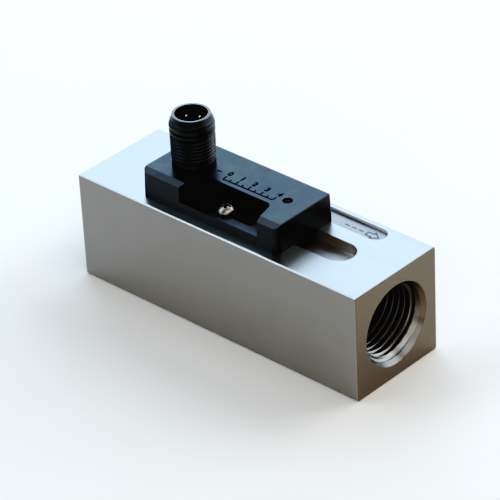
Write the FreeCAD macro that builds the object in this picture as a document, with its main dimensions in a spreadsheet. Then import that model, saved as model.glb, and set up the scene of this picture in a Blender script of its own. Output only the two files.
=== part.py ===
import FreeCAD, Part
import Sketcher
import os
from types import SimpleNamespace

# Inline magnetic flow monitor. A square bar carries a spring-loaded piston with a magnet, and a
# switch head slides along the top of the bar and is clamped there by one screw.
# Millimetres. +X is the way the liquid flows, +Z is up, the origin is the middle of the underside.

Vector = FreeCAD.Vector

sizes = {
    # square bar
    "body_length": 93.4,
    "body_width": 30.0,
    "body_height": 30.0,
    "edge_round": 0.6,
    "end_chamfer": 0.15,
    # half inch pipe ports, at the thread's outer diameter
    "port_diameter": 20.955,
    "port_depth": 14.0,
    "mouth_diameter": 22.6,
    "mouth_depth": 1.25,
    # bore behind the ports
    "seat_bore_diameter": 18.0,
    "seat_bore_depth": 7.0,
    "chamber_diameter": 17.0,
    # retaining rings
    "ring_groove_diameter": 19.0,
    "ring_groove_width": 1.1,
    "ring_thickness": 1.0,
    "ring_play": 0.05,
    "ring_width": 1.5,
    "ring_gap": 3.2,
    "lug_diameter": 2.6,
    "lug_hole_diameter": 1.1,
    # seat ring and its seal
    "insert_fit": 0.05,
    "insert_thickness": 4.0,
    "orifice_diameter": 11.0,
    "orifice_lead": 1.2,
    "seal_groove_width": 1.9,
    "seal_groove_depth": 1.35,
    "seal_clearance": 0.03,
    # piston
    "core_diameter": 13.0,
    "core_length": 22.0,
    "core_chamfer": 0.8,
    "nose_length": 3.0,
    "nose_diameter": 10.2,
    "nose_tip_diameter": 6.0,
    "fin_width": 2.0,
    "fin_margin": 1.5,
    "fin_clearance": 0.06,
    "piston_stroke": 12.0,
    "stop_clearance": 0.2,
    # magnet and the plug that holds it
    "magnet_diameter": 8.0,
    "magnet_length": 6.0,
    "magnet_chamfer": 0.4,
    "magnet_fit": 0.05,
    "plug_length": 3.0,
    "plug_flange_diameter": 11.6,
    "plug_flange_thickness": 1.2,
    "spigot_diameter": 8.2,
    "spigot_length": 3.0,
    # return spring
    "wire_diameter": 0.6,
    "coil_diameter": 9.4,
    "coil_turns": 7.0,
    "spring_end_gap": 0.02,
    # spider that carries the spring
    "spider_rim": 1.2,
    "spider_arm_width": 2.4,
    "spider_hub_diameter": 10.6,
    "stop_stem_diameter": 5.0,
    # guide slot and marking groove in the top of the bar
    "slot_width": 8.8,
    "slot_depth": 3.2,
    "slot_left": 17.7,
    "slot_right": 34.2,
    "slot_side": 1.2,
    "marking_width": 5.6,
    "marking_depth": 0.8,
    "marking_left": 1.8,
    "marking_right": 34.6,
    "marking_offset": 10.5,
    # clamp screw
    "screw_back": 0.95,
    "screw_side": 8.2,
    "screw_diameter": 2.5,
    "screw_fit": 0.05,
    "screw_length": 9.0,
    "screw_hole_depth": 7.5,
    "screw_head_diameter": 4.7,
    "screw_head_height": 1.9,
    "screw_head_round": 0.85,
    "recess_span": 2.6,
    "recess_width": 0.75,
    "recess_depth": 1.1,
    # switch head
    "head_length": 46.4,
    "head_width": 20.9,
    "head_height": 7.85,
    "head_back": 3.9,
    "head_side": 1.85,
    "head_draft": 2.2,
    "head_left_round": 2.9,
    "head_right_round": 1.6,
    "head_rear_round": 0.8,
    "head_top_round": 0.3,
    "bevel_width": 2.15,
    "bevel_drop": 0.79,
    "rear_bevel": 0.7,
    "wall_thickness": 1.4,
    "roof_thickness": 1.5,
    "pocket_mouth": 26.2,
    "pocket_length": 22.2,
    "pocket_forward": 0.6,
    "pocket_reach": 7.9,
    "pocket_round": 1.8,
    "ledge_height": 3.05,
    "slide_travel": 8.0,
    "clamp_slot_width": 2.9,
    # base cover with the key that runs in the guide slot
    "cover_thickness": 1.2,
    "cover_lip": 0.9,
    "cover_fit": 0.08,
    "cover_round": 1.0,
    "key_length": 22.4,
    "key_forward": 6.9,
    "key_side_clearance": 0.2,
    "key_floor_clearance": 0.2,
    "channel_length": 16.4,
    "channel_width": 2.6,
    "channel_floor": 0.4,
    "post_diameter": 2.0,
    "post_inset": 4.0,
    # circuit board and what it carries
    "board_thickness": 1.0,
    "board_height": 2.4,
    "board_clearance": 0.3,
    "reed_forward": 6.5,
    "reed_side": 2.0,
    "reed_diameter": 2.2,
    "reed_length": 12.0,
    "reed_round": 0.8,
    "reed_clearance": 0.05,
    "lead_diameter": 0.5,
    "lead_span": 14.0,
    "lead_bend": 0.6,
    "lead_hole_diameter": 0.7,
    "resistor_length": 3.2,
    "resistor_width": 1.6,
    "resistor_height": 0.6,
    "lamp_forward": 16.7,
    "lamp_side": 1.2,
    "lamp_diameter": 2.4,
    "lamp_hole_diameter": 2.6,
    "lamp_flange_diameter": 3.2,
    "lamp_flange_height": 0.8,
    "lamp_recess": 0.15,
    # plug connector, twelve millimetre thread at the small end of its tolerance
    "plug_back": 13.7,
    "plug_height": 14.75,
    "plug_thread_diameter": 11.8,
    "collar_diameter": 11.2,
    "collar_height": 2.2,
    "tip_diameter": 9.6,
    "tip_root_diameter": 10.7,
    "tip_length": 2.6,
    "tip_shoulder": 0.5,
    "socket_diameter": 8.4,
    "socket_depth": 9.3,
    "spigot_fit": 0.05,
    "shell_spigot_diameter": 10.6,
    "code_key_width": 1.1,
    "code_key_reach": 0.6,
    "code_key_angle": 58.0,
    "carrier_fit": 0.03,
    "pin_diameter": 1.0,
    "pin_circle_diameter": 5.0,
    "pin_recess": 1.7,
    "pin_tip_chamfer": 0.25,
    "pin_fit": 0.02,
    "pin_turn": 13.0,
}

doc = FreeCAD.newDocument("flow_monitor")
sheet = doc.addObject("Spreadsheet::Sheet", "Dims")


class Size:
    # A length with its present value and the sheet expression that drives it.
    def __init__(self, text, value):
        self.text = text
        self.value = value

    def __add__(self, other):
        other = as_size(other)
        return Size(f"({self.text} + {other.text})", self.value + other.value)

    def __sub__(self, other):
        other = as_size(other)
        return Size(f"({self.text} - {other.text})", self.value - other.value)

    def __mul__(self, other):
        other = as_size(other)
        return Size(f"({self.text} * {other.text})", self.value * other.value)

    def __truediv__(self, other):
        other = as_size(other)
        return Size(f"({self.text} / {other.text})", self.value / other.value)

    def __neg__(self):
        return Size(f"(0 - {self.text})", -self.value)


def as_size(number):
    if isinstance(number, Size):
        return number
    return Size(str(float(number)), float(number))


def root(size):
    return Size(f"sqrt({size.text})", size.value ** 0.5)


def fill_sheet():
    for row, (alias, number) in enumerate(sizes.items(), start=1):
        sheet.set(f"A{row}", alias.replace("_", " "))
        sheet.set(f"B{row}", str(number))
        sheet.setAlias(f"B{row}", alias)
    doc.recompute()
    named = {alias: Size(f"Dims.{alias}", float(sheet.get(alias))) for alias in sizes}
    return SimpleNamespace(**named)


dims = fill_sheet()
zero = as_size(0)


def place(obj, x, y, z):
    for axis, size in zip("xyz", (x, y, z)):
        obj.setExpression(f"Placement.Base.{axis}", as_size(size).text)


def new_body(label, x, y, z):
    body = doc.addObject("PartDesign::Body", label)
    body.Label = label
    place(body, x, y, z)
    return body


def origin_feature(body, role):
    return next(feature for feature in body.Origin.OriginFeatures if feature.Role == role)


def new_sketch(body, plane, offset=zero):
    sketch = body.newObject("Sketcher::SketchObject", body.Label + "_sketch")
    sketch.AttachmentSupport = [(origin_feature(body, plane), "")]
    sketch.MapMode = "FlatFace"
    sketch.setExpression("AttachmentOffset.Base.z", as_size(offset).text)
    return sketch


def drive(sketch, constraint, size):
    index = sketch.addConstraint(constraint)
    sketch.setExpression(f"Constraints[{index}]", size.text)


def fix_point(sketch, geometry, end, x, y):
    # An origin point is given by -1, 1; the sketch's axes are -1 (across) and -2 (up).
    if x.text == zero.text:
        sketch.addConstraint(Sketcher.Constraint("PointOnObject", geometry, end, -2))
    else:
        drive(sketch, Sketcher.Constraint("DistanceX", -1, 1, geometry, end, x.value), x)
    if y.text == zero.text:
        sketch.addConstraint(Sketcher.Constraint("PointOnObject", geometry, end, -1))
    else:
        drive(sketch, Sketcher.Constraint("DistanceY", -1, 1, geometry, end, y.value), y)


def draw_outline(sketch, corners):
    corners = [(as_size(x), as_size(y)) for x, y in corners]
    count = len(corners)
    points = [Vector(x.value, y.value, 0) for x, y in corners]
    first = sketch.GeometryCount
    for index in range(count):
        sketch.addGeometry(Part.LineSegment(points[index], points[(index + 1) % count]))
    for index in range(count):
        after = first + (index + 1) % count
        sketch.addConstraint(Sketcher.Constraint("Coincident", first + index, 2, after, 1))
    for index, (x, y) in enumerate(corners):
        fix_point(sketch, first + index, 1, x, y)


def draw_circle(sketch, x, y, radius):
    x = as_size(x)
    y = as_size(y)
    circle = Part.Circle(Vector(x.value, y.value, 0), Vector(0, 0, 1), radius.value)
    index = sketch.addGeometry(circle)
    drive(sketch, Sketcher.Constraint("Radius", index, radius.value), radius)
    fix_point(sketch, index, 3, x, y)


def arc(x, y, radius, start, finish):
    circle = Part.Circle(Vector(x, y, 0), Vector(0, 0, 1), radius)
    return Part.ArcOfCircle(circle, start, finish)


quarter_turn = 1.5707963267948966


def draw_long_hole(sketch, x_from, x_to, y, radius):
    # Two half circles joined by tangent lines; x_from and x_to are the outermost points.
    left = x_from + radius
    right = x_to - radius
    y = as_size(y)
    size = radius.value
    first = sketch.GeometryCount
    sketch.addGeometry(arc(left.value, y.value, size, quarter_turn, 3 * quarter_turn))
    low = y.value - size
    sketch.addGeometry(Part.LineSegment(Vector(left.value, low, 0), Vector(right.value, low, 0)))
    sketch.addGeometry(arc(right.value, y.value, size, 3 * quarter_turn, 5 * quarter_turn))
    high = y.value + size
    sketch.addGeometry(Part.LineSegment(Vector(right.value, high, 0), Vector(left.value, high, 0)))
    for one, end, other, start in ((0, 2, 1, 1), (1, 2, 2, 1), (2, 2, 3, 1), (3, 2, 0, 1)):
        sketch.addConstraint(Sketcher.Constraint("Tangent", first + one, end, first + other, start))
    sketch.addConstraint(Sketcher.Constraint("Equal", first, first + 2))
    drive(sketch, Sketcher.Constraint("Radius", first, size), radius)
    fix_point(sketch, first, 3, left, y)
    fix_point(sketch, first + 2, 3, right, y)


def draw_rounded_box(sketch, x_from, x_to, y_from, y_to, front_left, front_right, rear_round):
    # Straight sides joined by quarter circles; the two rear corners share one radius.
    left, right, low, high = (as_size(size).value for size in (x_from, x_to, y_from, y_to))
    near = front_left.value
    far = front_right.value
    rear = rear_round.value
    first = sketch.GeometryCount
    sketch.addGeometry(Part.LineSegment(Vector(left + near, low, 0), Vector(right - far, low, 0)))
    sketch.addGeometry(arc(right - far, low + far, far, -quarter_turn, 0))
    sketch.addGeometry(Part.LineSegment(Vector(right, low + far, 0), Vector(right, high - rear, 0)))
    sketch.addGeometry(arc(right - rear, high - rear, rear, 0, quarter_turn))
    sketch.addGeometry(Part.LineSegment(Vector(right - rear, high, 0), Vector(left + rear, high, 0)))
    sketch.addGeometry(arc(left + rear, high - rear, rear, quarter_turn, 2 * quarter_turn))
    sketch.addGeometry(Part.LineSegment(Vector(left, high - rear, 0), Vector(left, low + near, 0)))
    sketch.addGeometry(arc(left + near, low + near, near, 2 * quarter_turn, 3 * quarter_turn))
    for index in range(8):
        after = first + (index + 1) % 8
        sketch.addConstraint(Sketcher.Constraint("Tangent", first + index, 2, after, 1))
    for level in (0, 4):
        sketch.addConstraint(Sketcher.Constraint("Horizontal", first + level))
        sketch.addConstraint(Sketcher.Constraint("Vertical", first + level + 2))
    sketch.addConstraint(Sketcher.Constraint("Equal", first + 3, first + 5))
    drive(sketch, Sketcher.Constraint("Radius", first + 1, far), front_right)
    drive(sketch, Sketcher.Constraint("Radius", first + 3, rear), rear_round)
    drive(sketch, Sketcher.Constraint("Radius", first + 7, near), front_left)
    fix_point(sketch, first + 3, 3, x_to - rear_round, y_to - rear_round)
    fix_point(sketch, first + 7, 3, x_from + front_left, y_from + front_left)


def feature(body, kind, sketch):
    made = body.newObject("PartDesign::" + kind, body.Label + "_" + kind.lower())
    made.Profile = sketch
    return made


def pad(body, sketch, length, both_ways=False, downward=False, draft=zero):
    made = feature(body, "Pad", sketch)
    made.Midplane = both_ways
    made.Reversed = downward
    made.setExpression("Length", as_size(length).text)
    made.setExpression("TaperAngle", draft.text)
    return made


def pocket(body, sketch, depth, both_ways=False, upward=False):
    made = feature(body, "Pocket", sketch)
    made.Midplane = both_ways
    made.Reversed = upward
    made.setExpression("Length", as_size(depth).text)
    return made


def turn(body, sketch, axis, kind="Revolution"):
    made = feature(body, kind, sketch)
    made.ReferenceAxis = (sketch, [axis])
    made.Angle = 360.0
    return made


def repeat_round(body, original, axis, count):
    made = body.newObject("PartDesign::PolarPattern", body.Label + "_pattern")
    made.Originals = [original]
    made.Axis = (origin_feature(body, axis), [""])
    made.Angle = 360.0
    made.Occurrences = count
    body.Tip = made
    return made


def edges_where(base, wanted):
    doc.recompute()
    names = []
    for index, edge in enumerate(base.Shape.Edges, start=1):
        if wanted(edge):
            names.append(f"Edge{index}")
    return names


def dress(body, kind, base, wanted, size):
    made = body.newObject("PartDesign::" + kind, body.Label + "_" + kind.lower())
    made.Base = (base, edges_where(base, wanted))
    made.setExpression("Radius" if kind == "Fillet" else "Size", as_size(size).text)
    return made


def lies_at(edge, axis, size):
    box = edge.BoundBox
    low = getattr(box, axis + "Min")
    high = getattr(box, axis + "Max")
    return abs(low - size.value) < 1e-4 and abs(high - size.value) < 1e-4


# Places that several pieces share.
half_length = dims.body_length / 2
half_width = dims.body_width / 2
half_height = dims.body_height / 2
inlet_shoulder = dims.port_depth + dims.seat_bore_depth - half_length
outlet_shoulder = -inlet_shoulder
seat_radius = dims.seat_bore_diameter / 2
insert_radius = seat_radius - dims.insert_fit
groove_radius = dims.ring_groove_diameter / 2
chamber_radius = dims.chamber_diameter / 2
ring_reach = dims.insert_thickness + dims.ring_play
slot_y = -dims.slot_side
head_x = -dims.head_back
head_y = -dims.head_side
screw_x = -dims.screw_back
screw_y = -dims.screw_side
screw_in_head_x = screw_x - head_x
screw_in_head_y = screw_y - head_y
head_half_length = dims.head_length / 2
head_half_width = dims.head_width / 2
pocket_middle = screw_in_head_x + dims.pocket_forward
pocket_left = pocket_middle - dims.pocket_mouth / 2
pocket_right = pocket_middle + dims.pocket_mouth / 2
pocket_rear = dims.pocket_reach - head_half_width
key_depth = dims.slot_depth - dims.key_floor_clearance
board_top = dims.board_height + dims.board_thickness
head_top = dims.body_height + dims.head_height
plug_x = head_x - dims.plug_back
socket_floor = dims.plug_height - dims.socket_depth


def make_flow_body():
    body = new_body("flow_body", zero, zero, half_height)
    section = new_sketch(body, "YZ_Plane")
    draw_rounded_box(section, -half_width, half_width, -half_height, half_height, dims.edge_round,
                     dims.edge_round, dims.edge_round)
    bar = pad(body, section, dims.body_length, both_ways=True)
    ends = dress(body, "Chamfer", bar,
                 lambda edge: lies_at(edge, "X", half_length) or lies_at(edge, "X", -half_length),
                 dims.end_chamfer)
    body.Tip = ends

    # Stepped bore: mouth, thread, seat bore with its ring groove, chamber, and the same again.
    mouth = dims.mouth_diameter / 2
    thread = dims.port_diameter / 2
    port_floor = half_length - dims.port_depth
    groove_near = outlet_shoulder + ring_reach
    groove_far = groove_near + dims.ring_groove_width
    outlet_side = [
        (outlet_shoulder, chamber_radius),
        (outlet_shoulder, seat_radius),
        (groove_near, seat_radius),
        (groove_near, groove_radius),
        (groove_far, groove_radius),
        (groove_far, seat_radius),
        (port_floor, seat_radius),
        (port_floor, thread),
        (half_length - dims.mouth_depth, thread),
        (half_length, mouth),
        (half_length, zero),
    ]
    inlet_side = [(-x, radius) for x, radius in reversed(outlet_side)]
    bore = new_sketch(body, "XZ_Plane")
    draw_outline(bore, inlet_side + outlet_side)
    turn(body, bore, "H_Axis", "Groove")

    slot = new_sketch(body, "XY_Plane", half_height)
    draw_long_hole(slot, -dims.slot_left, dims.slot_right, slot_y, dims.slot_width / 2)
    pocket(body, slot, dims.slot_depth)
    marking = new_sketch(body, "XY_Plane", half_height)
    draw_long_hole(marking, dims.marking_left, dims.marking_right, dims.marking_offset,
                   dims.marking_width / 2)
    pocket(body, marking, dims.marking_depth)
    hole = new_sketch(body, "XY_Plane", half_height)
    draw_circle(hole, screw_x, screw_y, dims.screw_diameter / 2 + dims.screw_fit)
    pocket(body, hole, dims.screw_hole_depth)
    return body


def make_seat_ring():
    ring = new_body("seat_ring", inlet_shoulder, zero, half_height)
    orifice = dims.orifice_diameter / 2
    front = -dims.insert_thickness
    middle = front / 2
    half_groove = dims.seal_groove_width / 2
    groove_floor = insert_radius - dims.seal_groove_depth
    profile = new_sketch(ring, "XZ_Plane")
    draw_outline(profile, [
        (front, orifice + dims.orifice_lead),
        (front, insert_radius),
        (middle - half_groove, insert_radius),
        (middle - half_groove, groove_floor),
        (middle + half_groove, groove_floor),
        (middle + half_groove, insert_radius),
        (zero, insert_radius),
        (zero, orifice),
        (front + dims.orifice_lead, orifice),
    ])
    turn(ring, profile, "H_Axis")
    return ring


def make_seat_seal():
    seal = doc.addObject("Part::Torus", "seat_seal")
    seal.Label = "seat_seal"
    groove_floor = insert_radius - dims.seal_groove_depth
    room = seat_radius - groove_floor
    seal.Placement = FreeCAD.Placement(Vector(), FreeCAD.Rotation(Vector(0, 1, 0), 90))
    seal.setExpression("Radius1", (groove_floor + room / 2).text)
    seal.setExpression("Radius2", (room / 2 - dims.seal_clearance).text)
    place(seal, inlet_shoulder - dims.insert_thickness / 2, zero, half_height)
    return seal


def make_retaining_ring(label, x):
    # A spring ring with its gap at the bottom and a drilled lug on each side of the gap.
    ring = new_body(label, x, zero, half_height)
    outer = groove_radius - dims.ring_play
    inner = seat_radius - dims.ring_width
    lug_radius = dims.lug_diameter / 2
    lug_y = dims.ring_gap / 2 + lug_radius
    lug_z = -root(inner * inner - lug_y * lug_y)
    hoop = new_sketch(ring, "YZ_Plane")
    draw_circle(hoop, zero, zero, outer)
    draw_circle(hoop, zero, zero, inner)
    pad(ring, hoop, dims.ring_thickness)
    lugs = new_sketch(ring, "YZ_Plane")
    draw_circle(lugs, lug_y, lug_z, lug_radius)
    draw_circle(lugs, -lug_y, lug_z, lug_radius)
    pad(ring, lugs, dims.ring_thickness)
    gap = new_sketch(ring, "YZ_Plane")
    half_gap = dims.ring_gap / 2
    below = -(outer + dims.ring_gap)
    draw_outline(gap, [(-half_gap, below), (half_gap, below), (half_gap, zero - inner / 2),
                       (-half_gap, zero - inner / 2)])
    pocket(ring, gap, dims.ring_thickness, upward=True)
    holes = new_sketch(ring, "YZ_Plane")
    draw_circle(holes, lug_y, lug_z, dims.lug_hole_diameter / 2)
    draw_circle(holes, -lug_y, lug_z, dims.lug_hole_diameter / 2)
    pocket(ring, holes, dims.ring_thickness, upward=True)
    return ring


def make_piston():
    piston = new_body("piston", inlet_shoulder, zero, half_height)
    core = dims.core_diameter / 2
    magnet_bore = dims.magnet_diameter / 2 + dims.magnet_fit
    bore_floor = dims.core_length - dims.plug_length - dims.magnet_length
    profile = new_sketch(piston, "XZ_Plane")
    draw_outline(profile, [
        (-dims.nose_length, zero),
        (-dims.nose_length, dims.nose_tip_diameter / 2),
        (zero, dims.nose_diameter / 2),
        (zero, core),
        (dims.core_length - dims.core_chamfer, core),
        (dims.core_length, core - dims.core_chamfer),
        (dims.core_length, magnet_bore),
        (bore_floor, magnet_bore),
        (bore_floor, zero),
    ])
    turn(piston, profile, "H_Axis")
    reach = chamber_radius - dims.fin_clearance
    half_fin = dims.fin_width / 2
    fin_top = root(reach * reach - half_fin * half_fin)
    fin_foot = core - dims.core_chamfer
    fin = new_sketch(piston, "YZ_Plane", dims.fin_margin)
    draw_outline(fin, [(-half_fin, fin_foot), (half_fin, fin_foot), (half_fin, fin_top),
                       (-half_fin, fin_top)])
    blade = pad(piston, fin, dims.core_length - dims.fin_margin * 2)
    repeat_round(piston, blade, "X_Axis", 4)
    return piston


def make_piston_magnet():
    start = inlet_shoulder + dims.core_length - dims.plug_length - dims.magnet_length
    magnet = new_body("piston_magnet", start, zero, half_height)
    radius = dims.magnet_diameter / 2
    bevel = dims.magnet_chamfer
    profile = new_sketch(magnet, "XZ_Plane")
    draw_outline(profile, [
        (zero, zero),
        (zero, radius - bevel),
        (bevel, radius),
        (dims.magnet_length - bevel, radius),
        (dims.magnet_length, radius - bevel),
        (dims.magnet_length, zero),
    ])
    turn(magnet, profile, "H_Axis")
    return magnet


def make_magnet_plug():
    # Closes the magnet's bore; its flange is the spring's seat and its spigot centres the spring.
    plug = new_body("magnet_plug", inlet_shoulder + dims.core_length, zero, half_height)
    flange_end = dims.plug_flange_thickness
    profile = new_sketch(plug, "XZ_Plane")
    draw_outline(profile, [
        (-dims.plug_length, zero),
        (-dims.plug_length, dims.magnet_diameter / 2),
        (zero, dims.magnet_diameter / 2),
        (zero, dims.plug_flange_diameter / 2),
        (flange_end, dims.plug_flange_diameter / 2),
        (flange_end, dims.spigot_diameter / 2),
        (flange_end + dims.spigot_length, dims.spigot_diameter / 2),
        (flange_end + dims.spigot_length, zero),
    ])
    turn(plug, profile, "H_Axis")
    return plug


def make_return_spring():
    start = inlet_shoulder + dims.core_length + dims.plug_flange_thickness
    spring = new_body("return_spring", start, zero, half_height)
    wire = dims.wire_diameter / 2
    first_coil = wire + dims.spring_end_gap
    section = new_sketch(spring, "XZ_Plane")
    draw_circle(section, first_coil, dims.coil_diameter / 2, wire)
    coil = feature(spring, "AdditiveHelix", section)
    coil.ReferenceAxis = (section, ["H_Axis"])
    coil.Mode = "height-turns-angle"
    coil.setExpression("Height", (outlet_shoulder - start - first_coil * 2).text)
    coil.setExpression("Turns", dims.coil_turns.text)
    return spring


def make_spring_spider():
    # Rim, three arms and a hub; the stem inside the spring is the piston's end stop.
    spider = new_body("spring_spider", outlet_shoulder, zero, half_height)
    rim_inner = insert_radius - dims.spider_rim
    rim = new_sketch(spider, "YZ_Plane")
    draw_circle(rim, zero, zero, insert_radius)
    draw_circle(rim, zero, zero, rim_inner)
    pad(spider, rim, dims.insert_thickness)
    half_arm = dims.spider_arm_width / 2
    arm_end = insert_radius - dims.spider_rim / 2
    arm = new_sketch(spider, "YZ_Plane")
    draw_outline(arm, [(-half_arm, zero), (half_arm, zero), (half_arm, arm_end),
                       (-half_arm, arm_end)])
    spoke = pad(spider, arm, dims.insert_thickness)
    repeat_round(spider, spoke, "X_Axis", 3)
    spring_start = inlet_shoulder + dims.core_length + dims.plug_flange_thickness
    stop = spring_start + dims.spigot_length + dims.piston_stroke + dims.stop_clearance
    tip = stop - outlet_shoulder
    hub = new_sketch(spider, "XZ_Plane")
    draw_outline(hub, [
        (tip, zero),
        (tip, dims.stop_stem_diameter / 2),
        (-dims.spigot_length, dims.stop_stem_diameter / 2),
        (-dims.spigot_length, dims.spigot_diameter / 2),
        (zero, dims.spigot_diameter / 2),
        (zero, dims.spider_hub_diameter / 2),
        (dims.insert_thickness, dims.spider_hub_diameter / 2),
        (dims.insert_thickness, zero),
    ])
    turn(spider, hub, "H_Axis")
    return spider


def make_clamp_screw():
    screw = new_body("clamp_screw", screw_x, screw_y, dims.body_height + dims.ledge_height)
    profile = new_sketch(screw, "XZ_Plane")
    draw_outline(profile, [
        (zero, -dims.screw_length),
        (dims.screw_diameter / 2, -dims.screw_length),
        (dims.screw_diameter / 2, zero),
        (dims.screw_head_diameter / 2, zero),
        (dims.screw_head_diameter / 2, dims.screw_head_height),
        (zero, dims.screw_head_height),
    ])
    shape = turn(screw, profile, "V_Axis")
    dome = dress(screw, "Fillet", shape,
                 lambda edge: lies_at(edge, "Z", dims.screw_head_height) and edge.Length > 1,
                 dims.screw_head_round)
    screw.Tip = dome
    span = dims.recess_span / 2
    half = dims.recess_width / 2
    cross = new_sketch(screw, "XY_Plane", dims.screw_head_height)
    draw_outline(cross, [(-span, -half), (-half, -half), (-half, -span), (half, -span),
                         (half, -half), (span, -half), (span, half), (half, half),
                         (half, span), (-half, span), (-half, half), (-span, half)])
    pocket(screw, cross, dims.recess_depth)
    return screw


def make_switch_housing():
    housing = new_body("switch_housing", head_x, head_y, dims.body_height)
    outline = new_sketch(housing, "XY_Plane")
    draw_rounded_box(outline, -head_half_length, head_half_length, -head_half_width,
                     head_half_width, dims.head_left_round, dims.head_right_round,
                     dims.head_rear_round)
    block = pad(housing, outline, dims.head_height, draft=-dims.head_draft)
    softened = dress(housing, "Fillet", block,
                     lambda edge: lies_at(edge, "Z", dims.head_height), dims.head_top_round)
    housing.Tip = softened

    # A shallow bevel along the front of the top and a small one along the rear of the underside.
    front_bevel = new_sketch(housing, "YZ_Plane")
    before = -head_half_width - dims.bevel_width
    above = dims.head_height + dims.bevel_drop
    draw_outline(front_bevel, [
        (before, dims.head_height - dims.bevel_drop * 2),
        (dims.bevel_width * 2 - head_half_width, above),
        (before, above),
    ])
    pocket(housing, front_bevel, dims.head_length * 2, both_ways=True)
    rear_bevel = new_sketch(housing, "YZ_Plane")
    behind = head_half_width + dims.rear_bevel
    draw_outline(rear_bevel, [
        (behind, dims.rear_bevel * 2),
        (head_half_width - dims.rear_bevel * 2, -dims.rear_bevel),
        (behind, -dims.rear_bevel),
    ])
    pocket(housing, rear_bevel, dims.head_length * 2, both_ways=True)

    # Screw pocket, open to the front and the top and wider at its mouth, down to the ledge that
    # the screw clamps.
    well = new_sketch(housing, "XY_Plane", dims.head_height)
    flare = (dims.pocket_mouth - dims.pocket_length) / 2
    rear_left = pocket_left + flare
    rear_right = pocket_right - flare
    draw_outline(well, [
        (pocket_left - flare, -head_half_width - dims.pocket_reach),
        (pocket_right + flare, -head_half_width - dims.pocket_reach),
        (rear_right, pocket_rear),
        (rear_left, pocket_rear),
    ])
    open_well = pocket(housing, well, dims.head_height - dims.ledge_height)
    rounded = dress(housing, "Fillet", open_well,
                    lambda edge: lies_at(edge, "Y", pocket_rear)
                    and (lies_at(edge, "X", rear_left) or lies_at(edge, "X", rear_right)),
                    dims.pocket_round)
    housing.Tip = rounded
    slot = new_sketch(housing, "XY_Plane")
    reach = dims.slide_travel + dims.clamp_slot_width / 2
    draw_long_hole(slot, screw_in_head_x - reach, screw_in_head_x + reach, screw_in_head_y,
                   dims.clamp_slot_width / 2)
    pocket(housing, slot, dims.ledge_height, upward=True)

    # Hollow for the electronics, round three sides of the pocket, and the cover's seat below it.
    wall = dims.wall_thickness
    left = wall - head_half_length
    right = head_half_length - wall
    front = wall - head_half_width
    rear = head_half_width - wall
    hollow = new_sketch(housing, "XY_Plane")
    draw_outline(hollow, [
        (left, front),
        (pocket_left - wall, front),
        (pocket_left - wall, pocket_rear + wall),
        (pocket_right + wall, pocket_rear + wall),
        (pocket_right + wall, front),
        (right, front),
        (right, rear),
        (left, rear),
    ])
    pocket(housing, hollow, dims.head_height - dims.roof_thickness, upward=True)
    seat = new_sketch(housing, "XY_Plane")
    lip = dims.cover_lip
    draw_rounded_box(seat, lip - head_half_length, head_half_length - lip, lip - head_half_width,
                     head_half_width - lip, dims.cover_round, dims.cover_round, dims.cover_round)
    pocket(housing, seat, dims.cover_thickness, upward=True)
    holes = new_sketch(housing, "XY_Plane", dims.head_height)
    draw_circle(holes, -dims.plug_back, zero, dims.shell_spigot_diameter / 2 + dims.spigot_fit)
    draw_circle(holes, dims.lamp_forward, dims.lamp_side, dims.lamp_hole_diameter / 2)
    pocket(housing, holes, dims.roof_thickness)
    return housing


def make_base_cover():
    cover = new_body("base_cover", head_x, head_y, dims.body_height)
    inset = dims.cover_lip + dims.cover_fit
    outline = new_sketch(cover, "XY_Plane")
    draw_rounded_box(outline, inset - head_half_length, head_half_length - inset,
                     inset - head_half_width, head_half_width - inset, dims.cover_round,
                     dims.cover_round, dims.cover_round)
    pad(cover, outline, dims.cover_thickness)
    key = new_sketch(cover, "XY_Plane")
    key_half = dims.key_length / 2
    draw_long_hole(key, dims.key_forward - key_half, dims.key_forward + key_half,
                   slot_y - head_y, dims.slot_width / 2 - dims.key_side_clearance)
    pad(cover, key, key_depth, downward=True)
    posts = new_sketch(cover, "XY_Plane", dims.cover_thickness)
    post = dims.post_diameter / 2
    post_x = head_half_length - dims.post_inset
    post_y = head_half_width - dims.post_inset
    draw_circle(posts, -post_x, -post_y, post)
    draw_circle(posts, -post_x, post_y, post)
    draw_circle(posts, post_x, post_y, post)
    pad(cover, posts, dims.board_height - dims.cover_thickness)

    # Channel for the reed capsule, open towards the board.
    channel = new_sketch(cover, "XY_Plane", dims.cover_thickness)
    half_channel = dims.channel_length / 2
    half_wide = dims.channel_width / 2
    draw_outline(channel, [
        (dims.reed_forward - half_channel, dims.reed_side - half_wide),
        (dims.reed_forward + half_channel, dims.reed_side - half_wide),
        (dims.reed_forward + half_channel, dims.reed_side + half_wide),
        (dims.reed_forward - half_channel, dims.reed_side + half_wide),
    ])
    pocket(cover, channel, dims.cover_thickness + key_depth - dims.channel_floor)
    slot = new_sketch(cover, "XY_Plane")
    reach = dims.slide_travel + dims.clamp_slot_width / 2
    draw_long_hole(slot, screw_in_head_x - reach, screw_in_head_x + reach, screw_in_head_y,
                   dims.clamp_slot_width / 2)
    pocket(cover, slot, dims.cover_thickness, upward=True)
    return cover


def make_circuit_board():
    board = new_body("circuit_board", head_x, head_y, dims.body_height + dims.board_height)
    inset = dims.wall_thickness + dims.board_clearance
    left = inset - head_half_length
    right = head_half_length - inset
    front = inset - head_half_width
    rear = head_half_width - inset
    outline = new_sketch(board, "XY_Plane")
    draw_outline(outline, [
        (left, front),
        (pocket_left - inset, front),
        (pocket_left - inset, pocket_rear + inset),
        (right, pocket_rear + inset),
        (right, rear),
        (left, rear),
    ])
    pad(board, outline, dims.board_thickness)
    holes = new_sketch(board, "XY_Plane")
    half_span = dims.lead_span / 2
    radius = dims.lead_hole_diameter / 2
    draw_circle(holes, dims.reed_forward - half_span, dims.reed_side, radius)
    draw_circle(holes, dims.reed_forward + half_span, dims.reed_side, radius)
    pocket(board, holes, dims.board_thickness, upward=True)
    return board


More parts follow.
